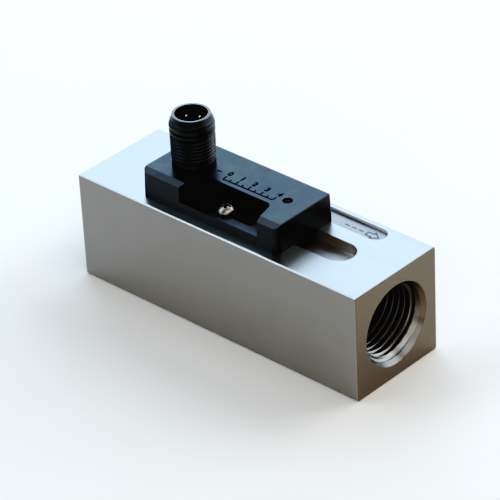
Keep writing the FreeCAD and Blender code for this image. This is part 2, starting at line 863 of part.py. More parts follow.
reed_level = dims.channel_floor - key_depth + dims.reed_diameter / 2 + dims.reed_clearance


def make_reed_capsule():
    capsule = new_body("reed_capsule", head_x + dims.reed_forward, head_y + dims.reed_side,
                       dims.body_height + reed_level)
    radius = dims.reed_diameter / 2
    half = dims.reed_length / 2
    profile = new_sketch(capsule, "XZ_Plane")
    draw_outline(profile, [(-half, zero), (-half, radius), (half, radius), (half, zero)])
    tube = turn(capsule, profile, "H_Axis")
    rounded = dress(capsule, "Fillet", tube,
                    lambda edge: lies_at(edge, "X", half) or lies_at(edge, "X", -half),
                    dims.reed_round)
    capsule.Tip = rounded
    return capsule


def make_reed_leads():
    leads = new_body("reed_leads", head_x + dims.reed_forward, head_y + dims.reed_side,
                     dims.body_height + reed_level)
    start = dims.reed_length / 2
    bend = dims.lead_bend
    out = dims.lead_span / 2
    rise = board_top + dims.lead_diameter - reed_level
    path = new_sketch(leads, "XZ_Plane")
    path.addGeometry(Part.LineSegment(Vector(start.value, 0, 0), Vector((out - bend).value, 0, 0)))
    path.addGeometry(arc((out - bend).value, bend.value, bend.value, -quarter_turn, 0))
    path.addGeometry(Part.LineSegment(Vector(out.value, bend.value, 0),
                                      Vector(out.value, rise.value, 0)))
    path.addConstraint(Sketcher.Constraint("Tangent", 0, 2, 1, 1))
    path.addConstraint(Sketcher.Constraint("Tangent", 1, 2, 2, 1))
    path.addConstraint(Sketcher.Constraint("Vertical", 2))
    drive(path, Sketcher.Constraint("Radius", 1, bend.value), bend)
    fix_point(path, 0, 1, start, zero)
    path.addConstraint(Sketcher.Constraint("Horizontal", 0))
    fix_point(path, 2, 2, out, rise)
    section = new_sketch(leads, "YZ_Plane", start)
    draw_circle(section, zero, zero, dims.lead_diameter / 2)
    wire = feature(leads, "AdditivePipe", section)
    wire.Spine = (path, ["Edge1", "Edge2", "Edge3"])
    pair = leads.newObject("PartDesign::Mirrored", "reed_leads_mirrored")
    pair.Originals = [wire]
    pair.MirrorPlane = (origin_feature(leads, "YZ_Plane"), [""])
    leads.Tip = pair
    return leads


def make_series_resistor():
    resistor = doc.addObject("Part::Box", "series_resistor")
    resistor.Label = "series_resistor"
    resistor.setExpression("Length", dims.resistor_length.text)
    resistor.setExpression("Width", dims.resistor_width.text)
    resistor.setExpression("Height", dims.resistor_height.text)
    place(resistor, head_x + dims.reed_forward - dims.resistor_length / 2,
          head_y + head_half_width / 2, dims.body_height + board_top)
    return resistor


def make_indicator_lamp():
    lamp = new_body("indicator_lamp", head_x + dims.lamp_forward, head_y + dims.lamp_side,
                    dims.body_height + board_top)
    top = dims.head_height - board_top - dims.lamp_recess
    radius = dims.lamp_diameter / 2
    profile = new_sketch(lamp, "XZ_Plane")
    draw_outline(profile, [
        (zero, zero),
        (dims.lamp_flange_diameter / 2, zero),
        (dims.lamp_flange_diameter / 2, dims.lamp_flange_height),
        (radius, dims.lamp_flange_height),
        (radius, top),
        (zero, top),
    ])
    shape = turn(lamp, profile, "V_Axis")
    dome = dress(lamp, "Fillet", shape, lambda edge: lies_at(edge, "Z", top) and edge.Length > 1,
                 radius * 0.7)
    lamp.Tip = dome
    return lamp


def make_connector_shell():
    shell = new_body("connector_shell", plug_x, head_y, head_top)
    turned = FreeCAD.Rotation(Vector(0, 0, 1), -dims.code_key_angle.value)
    shell.Placement = FreeCAD.Placement(Vector(), turned)
    socket = dims.socket_diameter / 2
    thread = dims.plug_thread_diameter / 2
    tip_floor = dims.plug_height - dims.tip_length
    profile = new_sketch(shell, "XZ_Plane")
    draw_outline(profile, [
        (socket, -dims.roof_thickness),
        (dims.shell_spigot_diameter / 2, -dims.roof_thickness),
        (dims.shell_spigot_diameter / 2, zero),
        (dims.collar_diameter / 2, zero),
        (dims.collar_diameter / 2, dims.collar_height),
        (thread, dims.collar_height),
        (thread, tip_floor),
        (dims.tip_root_diameter / 2, tip_floor + dims.tip_shoulder),
        (dims.tip_diameter / 2, dims.plug_height),
        (socket, dims.plug_height),
    ])
    turn(shell, profile, "V_Axis")
    half_key = dims.code_key_width / 2
    rib = new_sketch(shell, "XY_Plane", socket_floor)
    draw_outline(rib, [
        (socket - dims.code_key_reach, -half_key),
        (socket + dims.code_key_reach / 4, -half_key),
        (socket + dims.code_key_reach / 4, half_key),
        (socket - dims.code_key_reach, half_key),
    ])
    pad(shell, rib, dims.socket_depth - dims.pin_recess)
    return shell


def make_contact_carrier():
    carrier = new_body("contact_carrier", plug_x, head_y, head_top - dims.roof_thickness)
    turned = FreeCAD.Rotation(Vector(0, 0, 1), -dims.pin_turn.value)
    carrier.Placement = FreeCAD.Placement(Vector(), turned)
    disc = new_sketch(carrier, "XY_Plane")
    draw_circle(disc, zero, zero, dims.socket_diameter / 2 - dims.carrier_fit)
    pad(carrier, disc, dims.roof_thickness + socket_floor)
    hole = new_sketch(carrier, "XY_Plane")
    draw_circle(hole, dims.pin_circle_diameter / 2, zero, dims.pin_diameter / 2 + dims.pin_fit)
    bored = pocket(carrier, hole, dims.roof_thickness + socket_floor, upward=True)
    repeat_round(carrier, bored, "Z_Axis", 4)
    return carrier


def make_contact_pins():
    pins = new_body("contact_pins", plug_x, head_y, dims.body_height + board_top)
    turned = FreeCAD.Rotation(Vector(0, 0, 1), -dims.pin_turn.value)
    pins.Placement = FreeCAD.Placement(Vector(), turned)
    length = dims.head_height - board_top + dims.plug_height - dims.pin_recess
    circle = dims.pin_circle_diameter / 2
    sections = new_sketch(pins, "XY_Plane")
    for x, y in ((circle, zero), (-circle, zero), (zero, circle), (zero, -circle)):
        draw_circle(sections, x, y, dims.pin_diameter / 2)
    rods = pad(pins, sections, length)
    tips = dress(pins, "Chamfer", rods, lambda edge: lies_at(edge, "Z", length),
                 dims.pin_tip_chamfer)
    pins.Tip = tips
    return pins


parts = [
    make_flow_body(),
    make_seat_ring(),
    make_seat_seal(),
    make_retaining_ring("inlet_retaining_ring",
                        inlet_shoulder - ring_reach - dims.ring_thickness),
    make_piston(),
    make_piston_magnet(),
    make_magnet_plug(),
    make_return_spring(),
    make_spring_spider(),
    make_retaining_ring("outlet_retaining_ring", outlet_shoulder + ring_reach),
    make_clamp_screw(),
    make_switch_housing(),
    make_base_cover(),
    make_circuit_board(),
    make_reed_capsule(),
    make_reed_leads(),
    make_series_resistor(),
    make_indicator_lamp(),
    make_connector_shell(),
    make_contact_carrier(),
    make_contact_pins(),
]
doc.recompute()

for obj in doc.Objects:
    if "Invalid" in obj.State or "Error" in obj.State:
        raise RuntimeError(f"{obj.Label} did not compute: {obj.State}")

os.makedirs("parts", exist_ok=True)
for obj in parts:
    if obj.Shape.isNull() or not obj.Shape.isValid():
        raise RuntimeError(f"{obj.Label} has no valid shape")
    obj.Shape.exportStep(f"parts/{obj.Label}.step")
    box = obj.Shape.BoundBox
    print(f"{obj.Label}: solids {len(obj.Shape.Solids)} volume {obj.Shape.Volume:.2f} "
          f"x {box.XMin:.2f} {box.XMax:.2f} y {box.YMin:.2f} {box.YMax:.2f} "
          f"z {box.ZMin:.2f} {box.ZMax:.2f}")
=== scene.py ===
import bpy
import bmesh
import math
import numpy as np
from mathutils import Matrix, Quaternion, Vector


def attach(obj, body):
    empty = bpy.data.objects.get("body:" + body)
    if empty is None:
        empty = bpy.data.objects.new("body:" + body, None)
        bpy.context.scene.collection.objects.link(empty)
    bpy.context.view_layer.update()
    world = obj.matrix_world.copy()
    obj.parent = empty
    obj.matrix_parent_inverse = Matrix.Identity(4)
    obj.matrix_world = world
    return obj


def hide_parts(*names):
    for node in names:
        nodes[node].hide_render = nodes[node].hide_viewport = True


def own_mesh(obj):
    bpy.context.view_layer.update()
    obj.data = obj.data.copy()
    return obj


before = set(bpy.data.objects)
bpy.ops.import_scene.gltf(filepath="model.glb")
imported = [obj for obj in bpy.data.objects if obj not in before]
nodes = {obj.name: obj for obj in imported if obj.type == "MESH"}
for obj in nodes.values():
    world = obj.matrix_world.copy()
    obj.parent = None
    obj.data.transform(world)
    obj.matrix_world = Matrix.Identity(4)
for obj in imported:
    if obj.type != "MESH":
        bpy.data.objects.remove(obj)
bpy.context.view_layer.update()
scene = bpy.context.scene
mm = 0.001
fullTurn = 2 * math.pi
barHalfLength = 46.7
boreHeight = 15.0  # of the bore's axis above the foot
print("frame loaded,", len(nodes), "nodes")


# mesh helpers

mergeReach = 2e-7  # points nearer than this become one
leastEdge = 1e-8


def gridFaces(rows, cols, wrapRows, wrapCols):
    # quads between neighbours on the grid; a wrapped direction joins its last line to its first
    i = np.arange(rows if wrapRows else rows - 1)
    j = np.arange(cols if wrapCols else cols - 1)
    a, b = np.meshgrid(i, j, indexing="ij")
    nextA = (a + 1) % rows
    nextB = (b + 1) % cols
    corners = (a * cols + b, nextA * cols + b, nextA * cols + nextB, a * cols + nextB)
    return np.stack(corners, -1).reshape(-1, 4)


def pieceFromGrids(name, grids, sharpDegrees=40):
    # each grid is (points of shape rows x cols x 3, wrapRows, wrapCols); doubled points are merged
    places = []
    quads = []
    count = 0
    for points, wrapRows, wrapCols in grids:
        rows, cols = points.shape[:2]
        places.append(points.reshape(-1, 3))
        quads.append(gridFaces(rows, cols, wrapRows, wrapCols) + count)
        count += rows * cols
    mesh = bpy.data.meshes.new(name)
    mesh.from_pydata(np.concatenate(places).astype(np.float32), [], np.concatenate(quads))
    sheet = bmesh.new()
    sheet.from_mesh(mesh)
    bmesh.ops.remove_doubles(sheet, verts=sheet.verts, dist=mergeReach)
    bmesh.ops.dissolve_degenerate(sheet, edges=sheet.edges, dist=leastEdge)
    bmesh.ops.recalc_face_normals(sheet, faces=sheet.faces)
    sheet.to_mesh(mesh)
    sheet.free()
    return addPiece(name, mesh, sharpDegrees)


def addPiece(name, mesh, sharpDegrees):
    # smooth shading, with a sharp line where two faces meet at more than the given angle
    mesh.polygons.foreach_set("use_smooth", np.ones(len(mesh.polygons), dtype=bool))
    mesh.set_sharp_from_angle(angle=math.radians(sharpDegrees))
    piece = bpy.data.objects.new(name, mesh)
    scene.collection.objects.link(piece)
    return piece


def smoothStep(low, high, values):
    # nought up to low, one from high on, eased between them
    t = np.clip((values - low) / (high - low), 0, 1)
    return t * t * (3 - 2 * t)


def unit(step):
    return step / np.linalg.norm(step)


def around(count):
    return np.linspace(0, fullTurn, count, endpoint=False)


def triangle(phase):
    # nought at each whole phase, which is a thread's root, and one half way, on its crest
    return 1 - np.abs(2 * (phase - np.floor(phase)) - 1)


def lathe(profile, turns):
    # profile points (radius, height) swung about the upright axis at the angles in turns
    radius, height = np.asarray(profile, float).T
    x = np.cos(turns)[:, None] * radius
    y = np.sin(turns)[:, None] * radius
    z = np.broadcast_to(height, x.shape)
    return np.stack([x, y, z], -1)


def roundCorner(before, corner, after, radius, count=5):
    # a quadratic bend from one leg of the corner to the other, starting radius away from it
    before, corner, after = (np.asarray(point, float) for point in (before, corner, after))
    start = corner + unit(before - corner) * radius
    finish = corner + unit(after - corner) * radius
    t = np.linspace(0, 1, count)[:, None]
    return (1 - t) ** 2 * start + 2 * t * (1 - t) * corner + t ** 2 * finish


def roundedPath(points, radii, closed=True):
    # the polygon with each corner bent by its own radius; a radius of nought keeps the corner
    points = np.asarray(points, float)
    count = len(points)
    runs = []
    for index in range(count):
        ends = not closed and index in (0, count - 1)
        if radii[index] == 0 or ends:
            runs.append(points[index:index + 1])
        else:
            runs.append(roundCorner(points[index - 1], points[index],
                                    points[(index + 1) % count], radii[index]))
    return np.concatenate(runs)


# pipe threads in the two ports

pipeThread = {
    "pitch": 1.814,
    "rootRadius": 10.44,  # just clear of the bore's wall
    "crestRadius": 9.316,
    "crestHalf": 0.12,  # half the flat on the crest
    "flankReach": 0.80,  # from the crest's middle to the foot of its flank
    "backRadius": 10.62,  # back of the lining, inside the metal
    "startDepth": 1.05,  # from the bar's end
    "endDepth": 13.7,
    "runOut": 1.2,  # the ridge dies away over this length at its inner end
    "runOutGap": 0.2,  # and is gone this far before it
    "flankEase": 0.3,  # how much the flank bends into crest and root
    "leastWall": 0.01,
    "sharp": 60,
    "mouthRadius": 11.3,  # the countersunk mouth at the bar's end
    "mouthSlope": 0.658,  # by how much its radius shrinks for each step inwards
    "mouthSink": 0.012,
    "phase": -0.167,
    "segments": 180,
    "steps": 212,
}


def makePipeThread(name, portEnd):
    # a lining whose radius follows the distance to the nearest turn of a right-hand helix: crest,
    # straight flank, root; the cone of the mouth goes on inwards and cuts the first turn down
    v = pipeThread
    direction = 1 if portEnd > 0 else -1
    depth = np.linspace(v["startDepth"], v["endDepth"], v["steps"])[None, :]
    angle = around(v["segments"])[:, None]
    x = portEnd - direction * depth
    turns = x / v["pitch"] - angle / fullTurn + v["phase"]
    away = np.abs(turns - np.floor(turns) - 0.5) * v["pitch"]
    flank = np.clip((away - v["crestHalf"]) / (v["flankReach"] - v["crestHalf"]), 0, 1)
    flank = (1 - v["flankEase"]) * flank + v["flankEase"] * smoothStep(0, 1, flank)
    flank = np.maximum(flank, smoothStep(v["endDepth"] - v["runOut"],
                                         v["endDepth"] - v["runOutGap"], depth))
    radius = v["crestRadius"] + (v["rootRadius"] - v["crestRadius"]) * flank
    cone = v["mouthRadius"] - v["mouthSlope"] * depth + v["mouthSink"]
    radius = np.clip(np.maximum(radius, cone), None, v["backRadius"] - v["leastWall"])
    back = np.full((v["segments"], 1), v["backRadius"])
    radius = np.concatenate([back, radius, back], 1)
    x = np.concatenate([x[:, :1], x, x[:, -1:]], 1)
    lining = np.stack([np.broadcast_to(x, radius.shape), radius * np.cos(angle),
                       radius * np.sin(angle) + boreHeight], -1)
    piece = pieceFromGrids(name, [(lining * mm, True, True)], v["sharp"])
    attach(piece, "flow_tube")
    return piece


outletThread = makePipeThread("outlet_thread", barHalfLength)
inletThread = makePipeThread("inlet_thread", -barHalfLength)
print("pipe threads made")


# threaded plug shell

plugShell = {
    "axis": (-17.6, -1.85),
    "foot": 37.85,  # top of the head
    "spigotRadius": 5.3,
    "spigotDepth": 1.5,
    "collarRadius": 5.6,
    "collarHeight": 2.2,
    "collarCorners": (0, 0.1, 0, 0.12, 0.22, 0),  # from the socket's foot outwards and up
    "cornerStep": 0.02,  # from a corner to the next ring of points
    "crestRadius": 5.77,
    "rootRadius": 5.44,
    "pitch": 1.0,
    "threadGap": 0.15,  # between the collar and the first ridge
    "threadRise": 0.7,  # the ridge grows over this height
    "threadEnd": 9.3,  # and dies away here, below the rings
    "threadFade": 0.3,
    "softShare": 0.35,  # how much of the ridge's shape is rounded
    "softWave": (0.12, 0.86),
    "straightWave": (0.1, 0.85),
    # height, half height and radius of each ring
    "rings": ((10.2, 0.58, 5.82), (11.72, 0.58, 5.82), (12.98, 0.34, 5.52)),
    "ringFlank": 0.2,
    "neckStart": 12.5,  # the neck narrows from here to the tip
    "neckTop": 13.3,
    "neckRadius": 5.28,
    "neckLip": 0.08,
    "tipRadius": 4.9,
    "tipLand": 0.3,  # height of the nearly upright tip
    "tipFlare": 0.08,
    "tipCorners": (0, 0.15, 0.07, 0.04, 0),
    "height": 14.75,
    "socketRadius": 4.2,
    "socketDepth": 9.3,
    "ribAngle": -58.0,
    "ribWidth": 1.1,
    "ribReach": 0.6,
    "ribTopGap": 0.4,
    "ribSink": 0.12,  # how far it stands in the wall
    "ribCorner": 0.2,
    "ribFootSink": 0.1,
    # the rib's rounded top: how far below it, and the share of the section left there
    "ribRounding": ((0.3, 1.0), (0.08, 0.86), (0.0, 0.6)),
    "segments": 144,
    "samplesPerPitch": 12,
    "sharp": 38,
}


def makePlugShell():
    # a closed profile turned about the plug's axis; above the collar its radius follows a rounded
    # triangle wave of (height / pitch - angle / full turn), which is a right-hand thread, then plain
    # rings on a narrowing neck
    v = plugShell
    angle = around(v["segments"])
    threadLow = v["collarHeight"] + v["threadGap"]
    count = int((v["neckTop"] - threadLow) / v["pitch"] * v["samplesPerPitch"])
    heights = np.linspace(threadLow, v["neckTop"], count)
    below = roundedPath([(v["socketRadius"], -v["spigotDepth"]),
                         (v["spigotRadius"], -v["spigotDepth"]),
                         (v["spigotRadius"], 0), (v["collarRadius"], 0),
                         (v["collarRadius"], v["collarHeight"]),
                         (v["rootRadius"], v["collarHeight"] + v["cornerStep"])],
                        v["collarCorners"], closed=False)
    thread = np.stack([np.full(count, v["rootRadius"]), heights], -1)
    above = roundedPath([(v["neckRadius"] - v["cornerStep"], v["neckTop"] + v["neckLip"]),
                         (v["tipRadius"] + v["tipFlare"], v["height"] - v["tipLand"]),
                         (v["tipRadius"], v["height"]), (v["socketRadius"], v["height"]),
                         (v["socketRadius"], v["height"] - v["socketDepth"])],
                        v["tipCorners"], closed=False)
    profile = np.concatenate([below, thread, above])
    shell = lathe(profile, angle)
    phase = heights[None, :] / v["pitch"] - angle[:, None] / fullTurn
    wave = triangle(phase)
    soft = smoothStep(*v["softWave"], wave)
    low, high = v["straightWave"]
    straight = np.clip((wave - low) / (high - low), 0, 1)
    wave = soft * v["softShare"] + straight * (1 - v["softShare"])
    ridge = smoothStep(threadLow, threadLow + v["threadRise"], heights)
    ridge = ridge * (1 - smoothStep(v["threadEnd"], v["threadEnd"] + v["threadFade"], heights))
    root = np.interp(heights, [v["neckStart"], v["neckTop"]], [v["rootRadius"], v["neckRadius"]])
    radius = root[None, :] + (v["crestRadius"] - v["rootRadius"]) * wave * ridge[None, :]
    for ringHeight, ringHalf, ringRadius in v["rings"]:
        ring = smoothStep(0, v["ringFlank"], ringHalf - np.abs(heights - ringHeight))
        radius = np.maximum(radius, root + (ringRadius - root) * ring)
    first = len(below)
    shell[:, first:first + count, 0] = np.cos(angle)[:, None] * radius
    shell[:, first:first + count, 1] = np.sin(angle)[:, None] * radius

    # coding rib: a small rounded block standing on the socket's wall, its top drawn to a line
    half = v["ribWidth"] / 2
    inner = v["socketRadius"] - v["ribReach"]
    outer = v["socketRadius"] + v["ribSink"]
    section = roundedPath([(outer, -half), (outer, half), (inner, half), (inner, -half)],
                          [0, 0, v["ribCorner"], v["ribCorner"]])
    ribFoot = v["height"] - v["socketDepth"] - v["ribFootSink"]
    ribTop = v["height"] - v["ribTopGap"]
    drop, left = np.array(v["ribRounding"]).T
    levels = np.concatenate([[ribFoot, ribFoot], ribTop - drop, [ribTop]])
    shrink = np.concatenate([[0.0, 1.0], left, [0.0]])
    centre = section.mean(0)
    rings = centre + (section[None] - centre) * shrink[:, None, None]
    ribHeights = np.broadcast_to(levels[:, None, None], rings.shape[:2] + (1,))
    rib = np.concatenate([rings, ribHeights], -1)
    turn = np.radians(v["ribAngle"])
    spin = np.array([[np.cos(turn), np.sin(turn)], [-np.sin(turn), np.cos(turn)]])
    rib[..., :2] = rib[..., :2] @ spin

    offset = np.array([*v["axis"], v["foot"]])
    piece = pieceFromGrids("plug_shell", [((shell + offset) * mm, True, True),
                                          ((rib + offset) * mm, False, True)], v["sharp"])
    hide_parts("connector_shell")
    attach(piece, "switch_head")
    return piece


plugPiece = makePlugShell()


# contact pins

contactPins = {
    "circleRadius": 2.5,
    "radius": 0.5,
    "foot": 33.4,
    "tip": 50.9,
    "turn": -13.0,
    "count": 4,
    "domeStretch": 1.1,  # height of the tip against its radius
    "segments": 28,
}


def makeContactPins():
    # four turned rods on a circle; each tip is a quarter ellipse swung about the rod's axis
    v = contactPins
    bend = np.linspace(0, math.pi / 2, 8)
    domeHeight = v["radius"] * v["domeStretch"]
    dome = np.stack([v["radius"] * np.cos(bend), v["tip"] - domeHeight * (1 - np.sin(bend))], -1)
    profile = np.concatenate([[(0, v["foot"]), (v["radius"], v["foot"])], dome])
    rod = lathe(profile, around(v["segments"]))
    grids = []
    for index in range(v["count"]):
        turn = math.radians(v["turn"] + 360 * index / v["count"])
        centre = np.array([plugShell["axis"][0] + v["circleRadius"] * math.cos(turn),
                           plugShell["axis"][1] + v["circleRadius"] * math.sin(turn), 0])
        grids.append(((rod + centre) * mm, True, False))
    piece = pieceFromGrids("gold_pins", grids)
    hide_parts("contact_pins")
    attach(piece, "switch_head")
    return piece


pinsPiece = makeContactPins()
print("plug made")


# clamp screw

clampScrew = {
    "axis": (-0.95, -8.2),
    "seat": 33.07,
    "headRadius": 2.43,
    "headHeight": 1.9,
    "wallShare": 0.30,  # part of the head's height that its upright wall takes
    "headCorner": 0.12,
    "cornerStep": 0.05,  # from a corner to the next ring of points
    "domePower": 2.1,
    "crossSpan": 1.25,
    "crossWidth": 0.34,
    "crossDepth": 1.3,
    "crossTurn": 24.0,
    "crossTaper": 0.75,  # part of the depth lost towards the ends of the cross
    "crossTaperPower": 1.5,
    "crossEdge": (-0.12, 0.04),
    "shankRadius": 1.25,
    "shankRoot": 0.98,
    "pitch": 0.45,
    "threadStart": (0.6, 1.6),  # below the head, where the ridge begins and is full
    "length": 9.0,
    "pointLength": 0.5,
    "pointRadius": 0.8,
    "segments": 160,
    "samplesPerPitch": 8,
    "sharp": 48,
}


def makeClampScrew():
    # polar grid: above its wall the head's top is (1 - (r / R) ** power) ** 0.5 of the rest, less a
    # cross-shaped dip; underside and shank follow, with a radius that winds as a right-hand thread
    v = clampScrew
    angle = around(v["segments"])[:, None]
    # rings of points lie closest over the cross recess and again at the rim
    share = np.concatenate([np.linspace(0, 0.62, 34), np.linspace(0.64, 0.985, 14), [0.995, 1.0]])[None, :]
    wall = v["headHeight"] * v["wallShare"]
    top = wall + (v["headHeight"] - wall) * np.sqrt(np.clip(1 - share ** v["domePower"], 0, 1))
    radius = v["headRadius"] * share
    turn = math.radians(v["crossTurn"])
    u = np.abs(radius * np.cos(angle - turn))
    w = np.abs(radius * np.sin(angle - turn))
    long = np.maximum(u, w)
    cross = np.minimum(u, w)
    side = np.maximum(cross - v["crossWidth"], long - v["crossSpan"])  # below nought inside the cross
    reach = np.clip(long / v["crossSpan"], 0, 1) ** v["crossTaperPower"]
    depth = v["crossDepth"] * (1 - v["crossTaper"] * reach)
    top = top - depth * (1 - smoothStep(*v["crossEdge"], side))
    head = np.stack([radius * np.cos(angle), radius * np.sin(angle), top], -1)
    corner = [(v["headRadius"], wall - v["cornerStep"]), (v["headRadius"], 0), (v["shankRadius"], 0)]
    rim = lathe(roundedPath(corner, [0, v["headCorner"], 0], closed=False), angle[:, 0])
    count = int(v["length"] / v["pitch"] * v["samplesPerPitch"])
    heights = np.linspace(-v["cornerStep"], -v["length"] + v["pointLength"], count)
    phase = heights[None, :] / v["pitch"] - angle / fullTurn
    wave = triangle(phase)
    begin = smoothStep(*v["threadStart"], -heights)[None, :]
    shankR = v["shankRadius"] - (v["shankRadius"] - v["shankRoot"]) * (1 - wave) * begin
    shank = np.stack([shankR * np.cos(angle), shankR * np.sin(angle),
                      np.broadcast_to(heights, shankR.shape)], -1)
    point = lathe([(v["pointRadius"], -v["length"]), (0, -v["length"])], angle[:, 0])
    grid = np.concatenate([head, rim, shank, point], 1) + np.array([*v["axis"], v["seat"]])
    piece = pieceFromGrids("pan_head_screw", [(grid * mm, True, False)], v["sharp"])
    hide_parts("clamp_screw")
    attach(piece, "clamp_screw_unit")
    return piece


screwPiece = makeClampScrew()
print("clamp screw made")


# return spring

returnSpring = {
    "start": -2.5,
    "finish": 25.7,
    "coilRadius": 4.7,
    "wireRadius": 0.3,
    "turns": 9.0,
    "closedTurns": 1.0,
    "opening": (0.7, 1.5),  # where the closed turns begin to open and are open, in closed turns
    "closedPitch": 2.05,  # in wire radii
    "endGap": 1.03,  # from the end to the wire's middle, in wire radii
    "segments": 40,
    "ring": 12,
    "travel": 12.0,
    "sharp": 60,
}


def makeReturnSpring():
    # a round section carried along a helix whose pitch shrinks to the wire's own width at both ends
    v = returnSpring
    turns = np.linspace(0, v["turns"], int(v["turns"] * v["segments"]))
    fromClosed, toOpen = (v["closedTurns"] * share for share in v["opening"])
    openness = smoothStep(fromClosed, toOpen, turns) * smoothStep(fromClosed, toOpen, v["turns"] - turns)
    gap = v["endGap"] * v["wireRadius"]
    closedStep = v["closedPitch"] * v["wireRadius"] * (turns[1] - turns[0])
    room = v["finish"] - v["start"] - 2 * gap - closedStep * (len(turns) - 1)
    step = closedStep + room * openness / openness[:-1].sum()
    along = v["start"] + gap + np.concatenate([[0], np.cumsum(step[:-1])])
    angle = turns * fullTurn
    ring = around(v["ring"])
    radius = v["coilRadius"] + v["wireRadius"] * np.cos(ring)[None, :]
    x = along[:, None] + v["wireRadius"] * np.sin(ring)[None, :]
    coil = np.stack([x, radius * np.cos(angle)[:, None], radius * np.sin(angle)[:, None] + boreHeight], -1)
    middle = coil.mean(1, keepdims=True)
    grid = np.concatenate([np.broadcast_to(middle[:1], coil[:1].shape), coil,
                           np.broadcast_to(middle[-1:], coil[-1:].shape)])
    piece = pieceFromGrids("spring_coil", [(grid * mm, False, True)], v["sharp"])
    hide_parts("return_spring")
    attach(piece, "flow_tube")
    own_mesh(piece)
    return piece


springPiece = makeReturnSpring()
print("return spring made")


# marks on the head and the bar

markSharp = 30

scaleMarks = {
    "level": 37.85,  # top of the head
    "thickness": 0.03,
    "sink": 0.05,  # the strokes reach this far into it
    "from": (-6.8, -2.95), "to": (9.6, -2.75),
    "ticks": 9,
    "tickLong": 1.5, "tickShort": 0.9,
    "stroke": 0.34,
    "numbers": ("0", "1", "2", "3", "4"),
    "numberHeight": 1.85,
    "numberGap": 0.6,
    "numberBold": 0.03,
    "plugMark": ((-10.8, -0.66), (-9.4, -0.52)),
}

flowMark = {
    "level": 29.2,  # floor of the groove
    "thickness": 0.03,
    "sink": 0.05,
    "centre": 10.29,
    "from": 28.87, "to": 32.57,
    "headLength": 1.9,
    "headHalf": 1.4,
    "shaftHalf": 0.72,
    "stroke": 0.3,
    "dashes": (21.77, 24.02, 26.27),  # where each dash before the arrow starts
    "dashLength": 1.45,
}


def flatSlab(points, low, high):
    # a closed outline carried from the lower level to the upper one, with both ends drawn to its middle
    points = np.asarray(points, float)
    middle = points.mean(0)
    rings = np.stack([np.broadcast_to(middle, points.shape), points, points,
                      np.broadcast_to(middle, points.shape)])
    levels = np.array([low, low, high, high])[:, None, None]
    return np.concatenate([rings, np.broadcast_to(levels, rings.shape[:2] + (1,))], -1)


def bar(start, finish, width):
    # rectangle of the given width along the line from start to finish
    start, finish = np.asarray(start, float), np.asarray(finish, float)
    along = unit(finish - start)
    across = np.array([-along[1], along[0]]) * width / 2
    return np.array([start - across, finish - across, finish + across, start + across])


def strokeLoop(points, width, low, high):
    # a band of even width laid along a closed outline; each corner is mitred
    points = np.asarray(points, float)
    before = points - np.roll(points, 1, 0)
    after = np.roll(points, -1, 0) - points
    before = before / np.linalg.norm(before, axis=1, keepdims=True)
    after = after / np.linalg.norm(after, axis=1, keepdims=True)
    sideBefore = np.stack([-before[:, 1], before[:, 0]], -1)
    sideAfter = np.stack([-after[:, 1], after[:, 0]], -1)
    mitre = sideBefore + sideAfter
    mitre = mitre / (mitre * sideBefore).sum(1, keepdims=True)
    inner = points + mitre * width / 2
    outer = points - mitre * width / 2
    flat = np.stack([inner, outer, outer, inner], 1)
    levels = np.broadcast_to(np.array([low, low, high, high])[None, :, None], flat.shape[:2] + (1,))
    return np.concatenate([flat, levels], -1)


def makeNumbers(v, places, slope):
    # plain numerals from the built-in face, made a mesh, sized to the number height and laid flat
    meshes = []
    for text, (x, y) in zip(v["numbers"], places):
        curve = bpy.data.curves.new("numeral", "FONT")
        curve.body = text
        curve.offset = v["numberBold"]
        source = bpy.data.objects.new("numeral", curve)
        scene.collection.objects.link(source)
        bpy.context.view_layer.update()
        mesh = bpy.data.meshes.new_from_object(source.evaluated_get(
            bpy.context.evaluated_depsgraph_get()))
        bpy.data.objects.remove(source)
        bpy.data.curves.remove(curve)
        flat = np.zeros(len(mesh.vertices) * 3, np.float32)
        mesh.vertices.foreach_get("co", flat)
        flat = flat.reshape(-1, 3)
        low, high = flat.min(0), flat.max(0)
        size = v["numberHeight"] / (high[1] - low[1])
        flat = (flat - (low + high) / 2) * size
        flat[:, 1] += v["numberHeight"] / 2
        turned = flat @ np.array([[math.cos(slope), math.sin(slope), 0],
                                  [-math.sin(slope), math.cos(slope), 0], [0, 0, 1]])
        turned += np.array([x, y, v["level"]])
        mesh.vertices.foreach_set("co", (turned * mm).astype(np.float32).ravel())
        mesh.update()
        meshes.append(mesh)
    numbers = bmesh.new()
    for mesh in meshes:
        numbers.from_mesh(mesh)
        bpy.data.meshes.remove(mesh)
    bmesh.ops.remove_doubles(numbers, verts=numbers.verts, dist=mergeReach)
    raised = bmesh.ops.extrude_face_region(numbers, geom=numbers.faces)
    lifted = [item for item in raised["geom"] if isinstance(item, bmesh.types.BMVert)]
    bmesh.ops.translate(numbers, verts=lifted, vec=(0, 0, v["thickness"] * mm))
    bmesh.ops.recalc_face_normals(numbers, faces=numbers.faces)
    merged = bpy.data.meshes.new("scale_numbers")
    numbers.to_mesh(merged)
    numbers.free()
    return addPiece("scale_numbers", merged, markSharp)


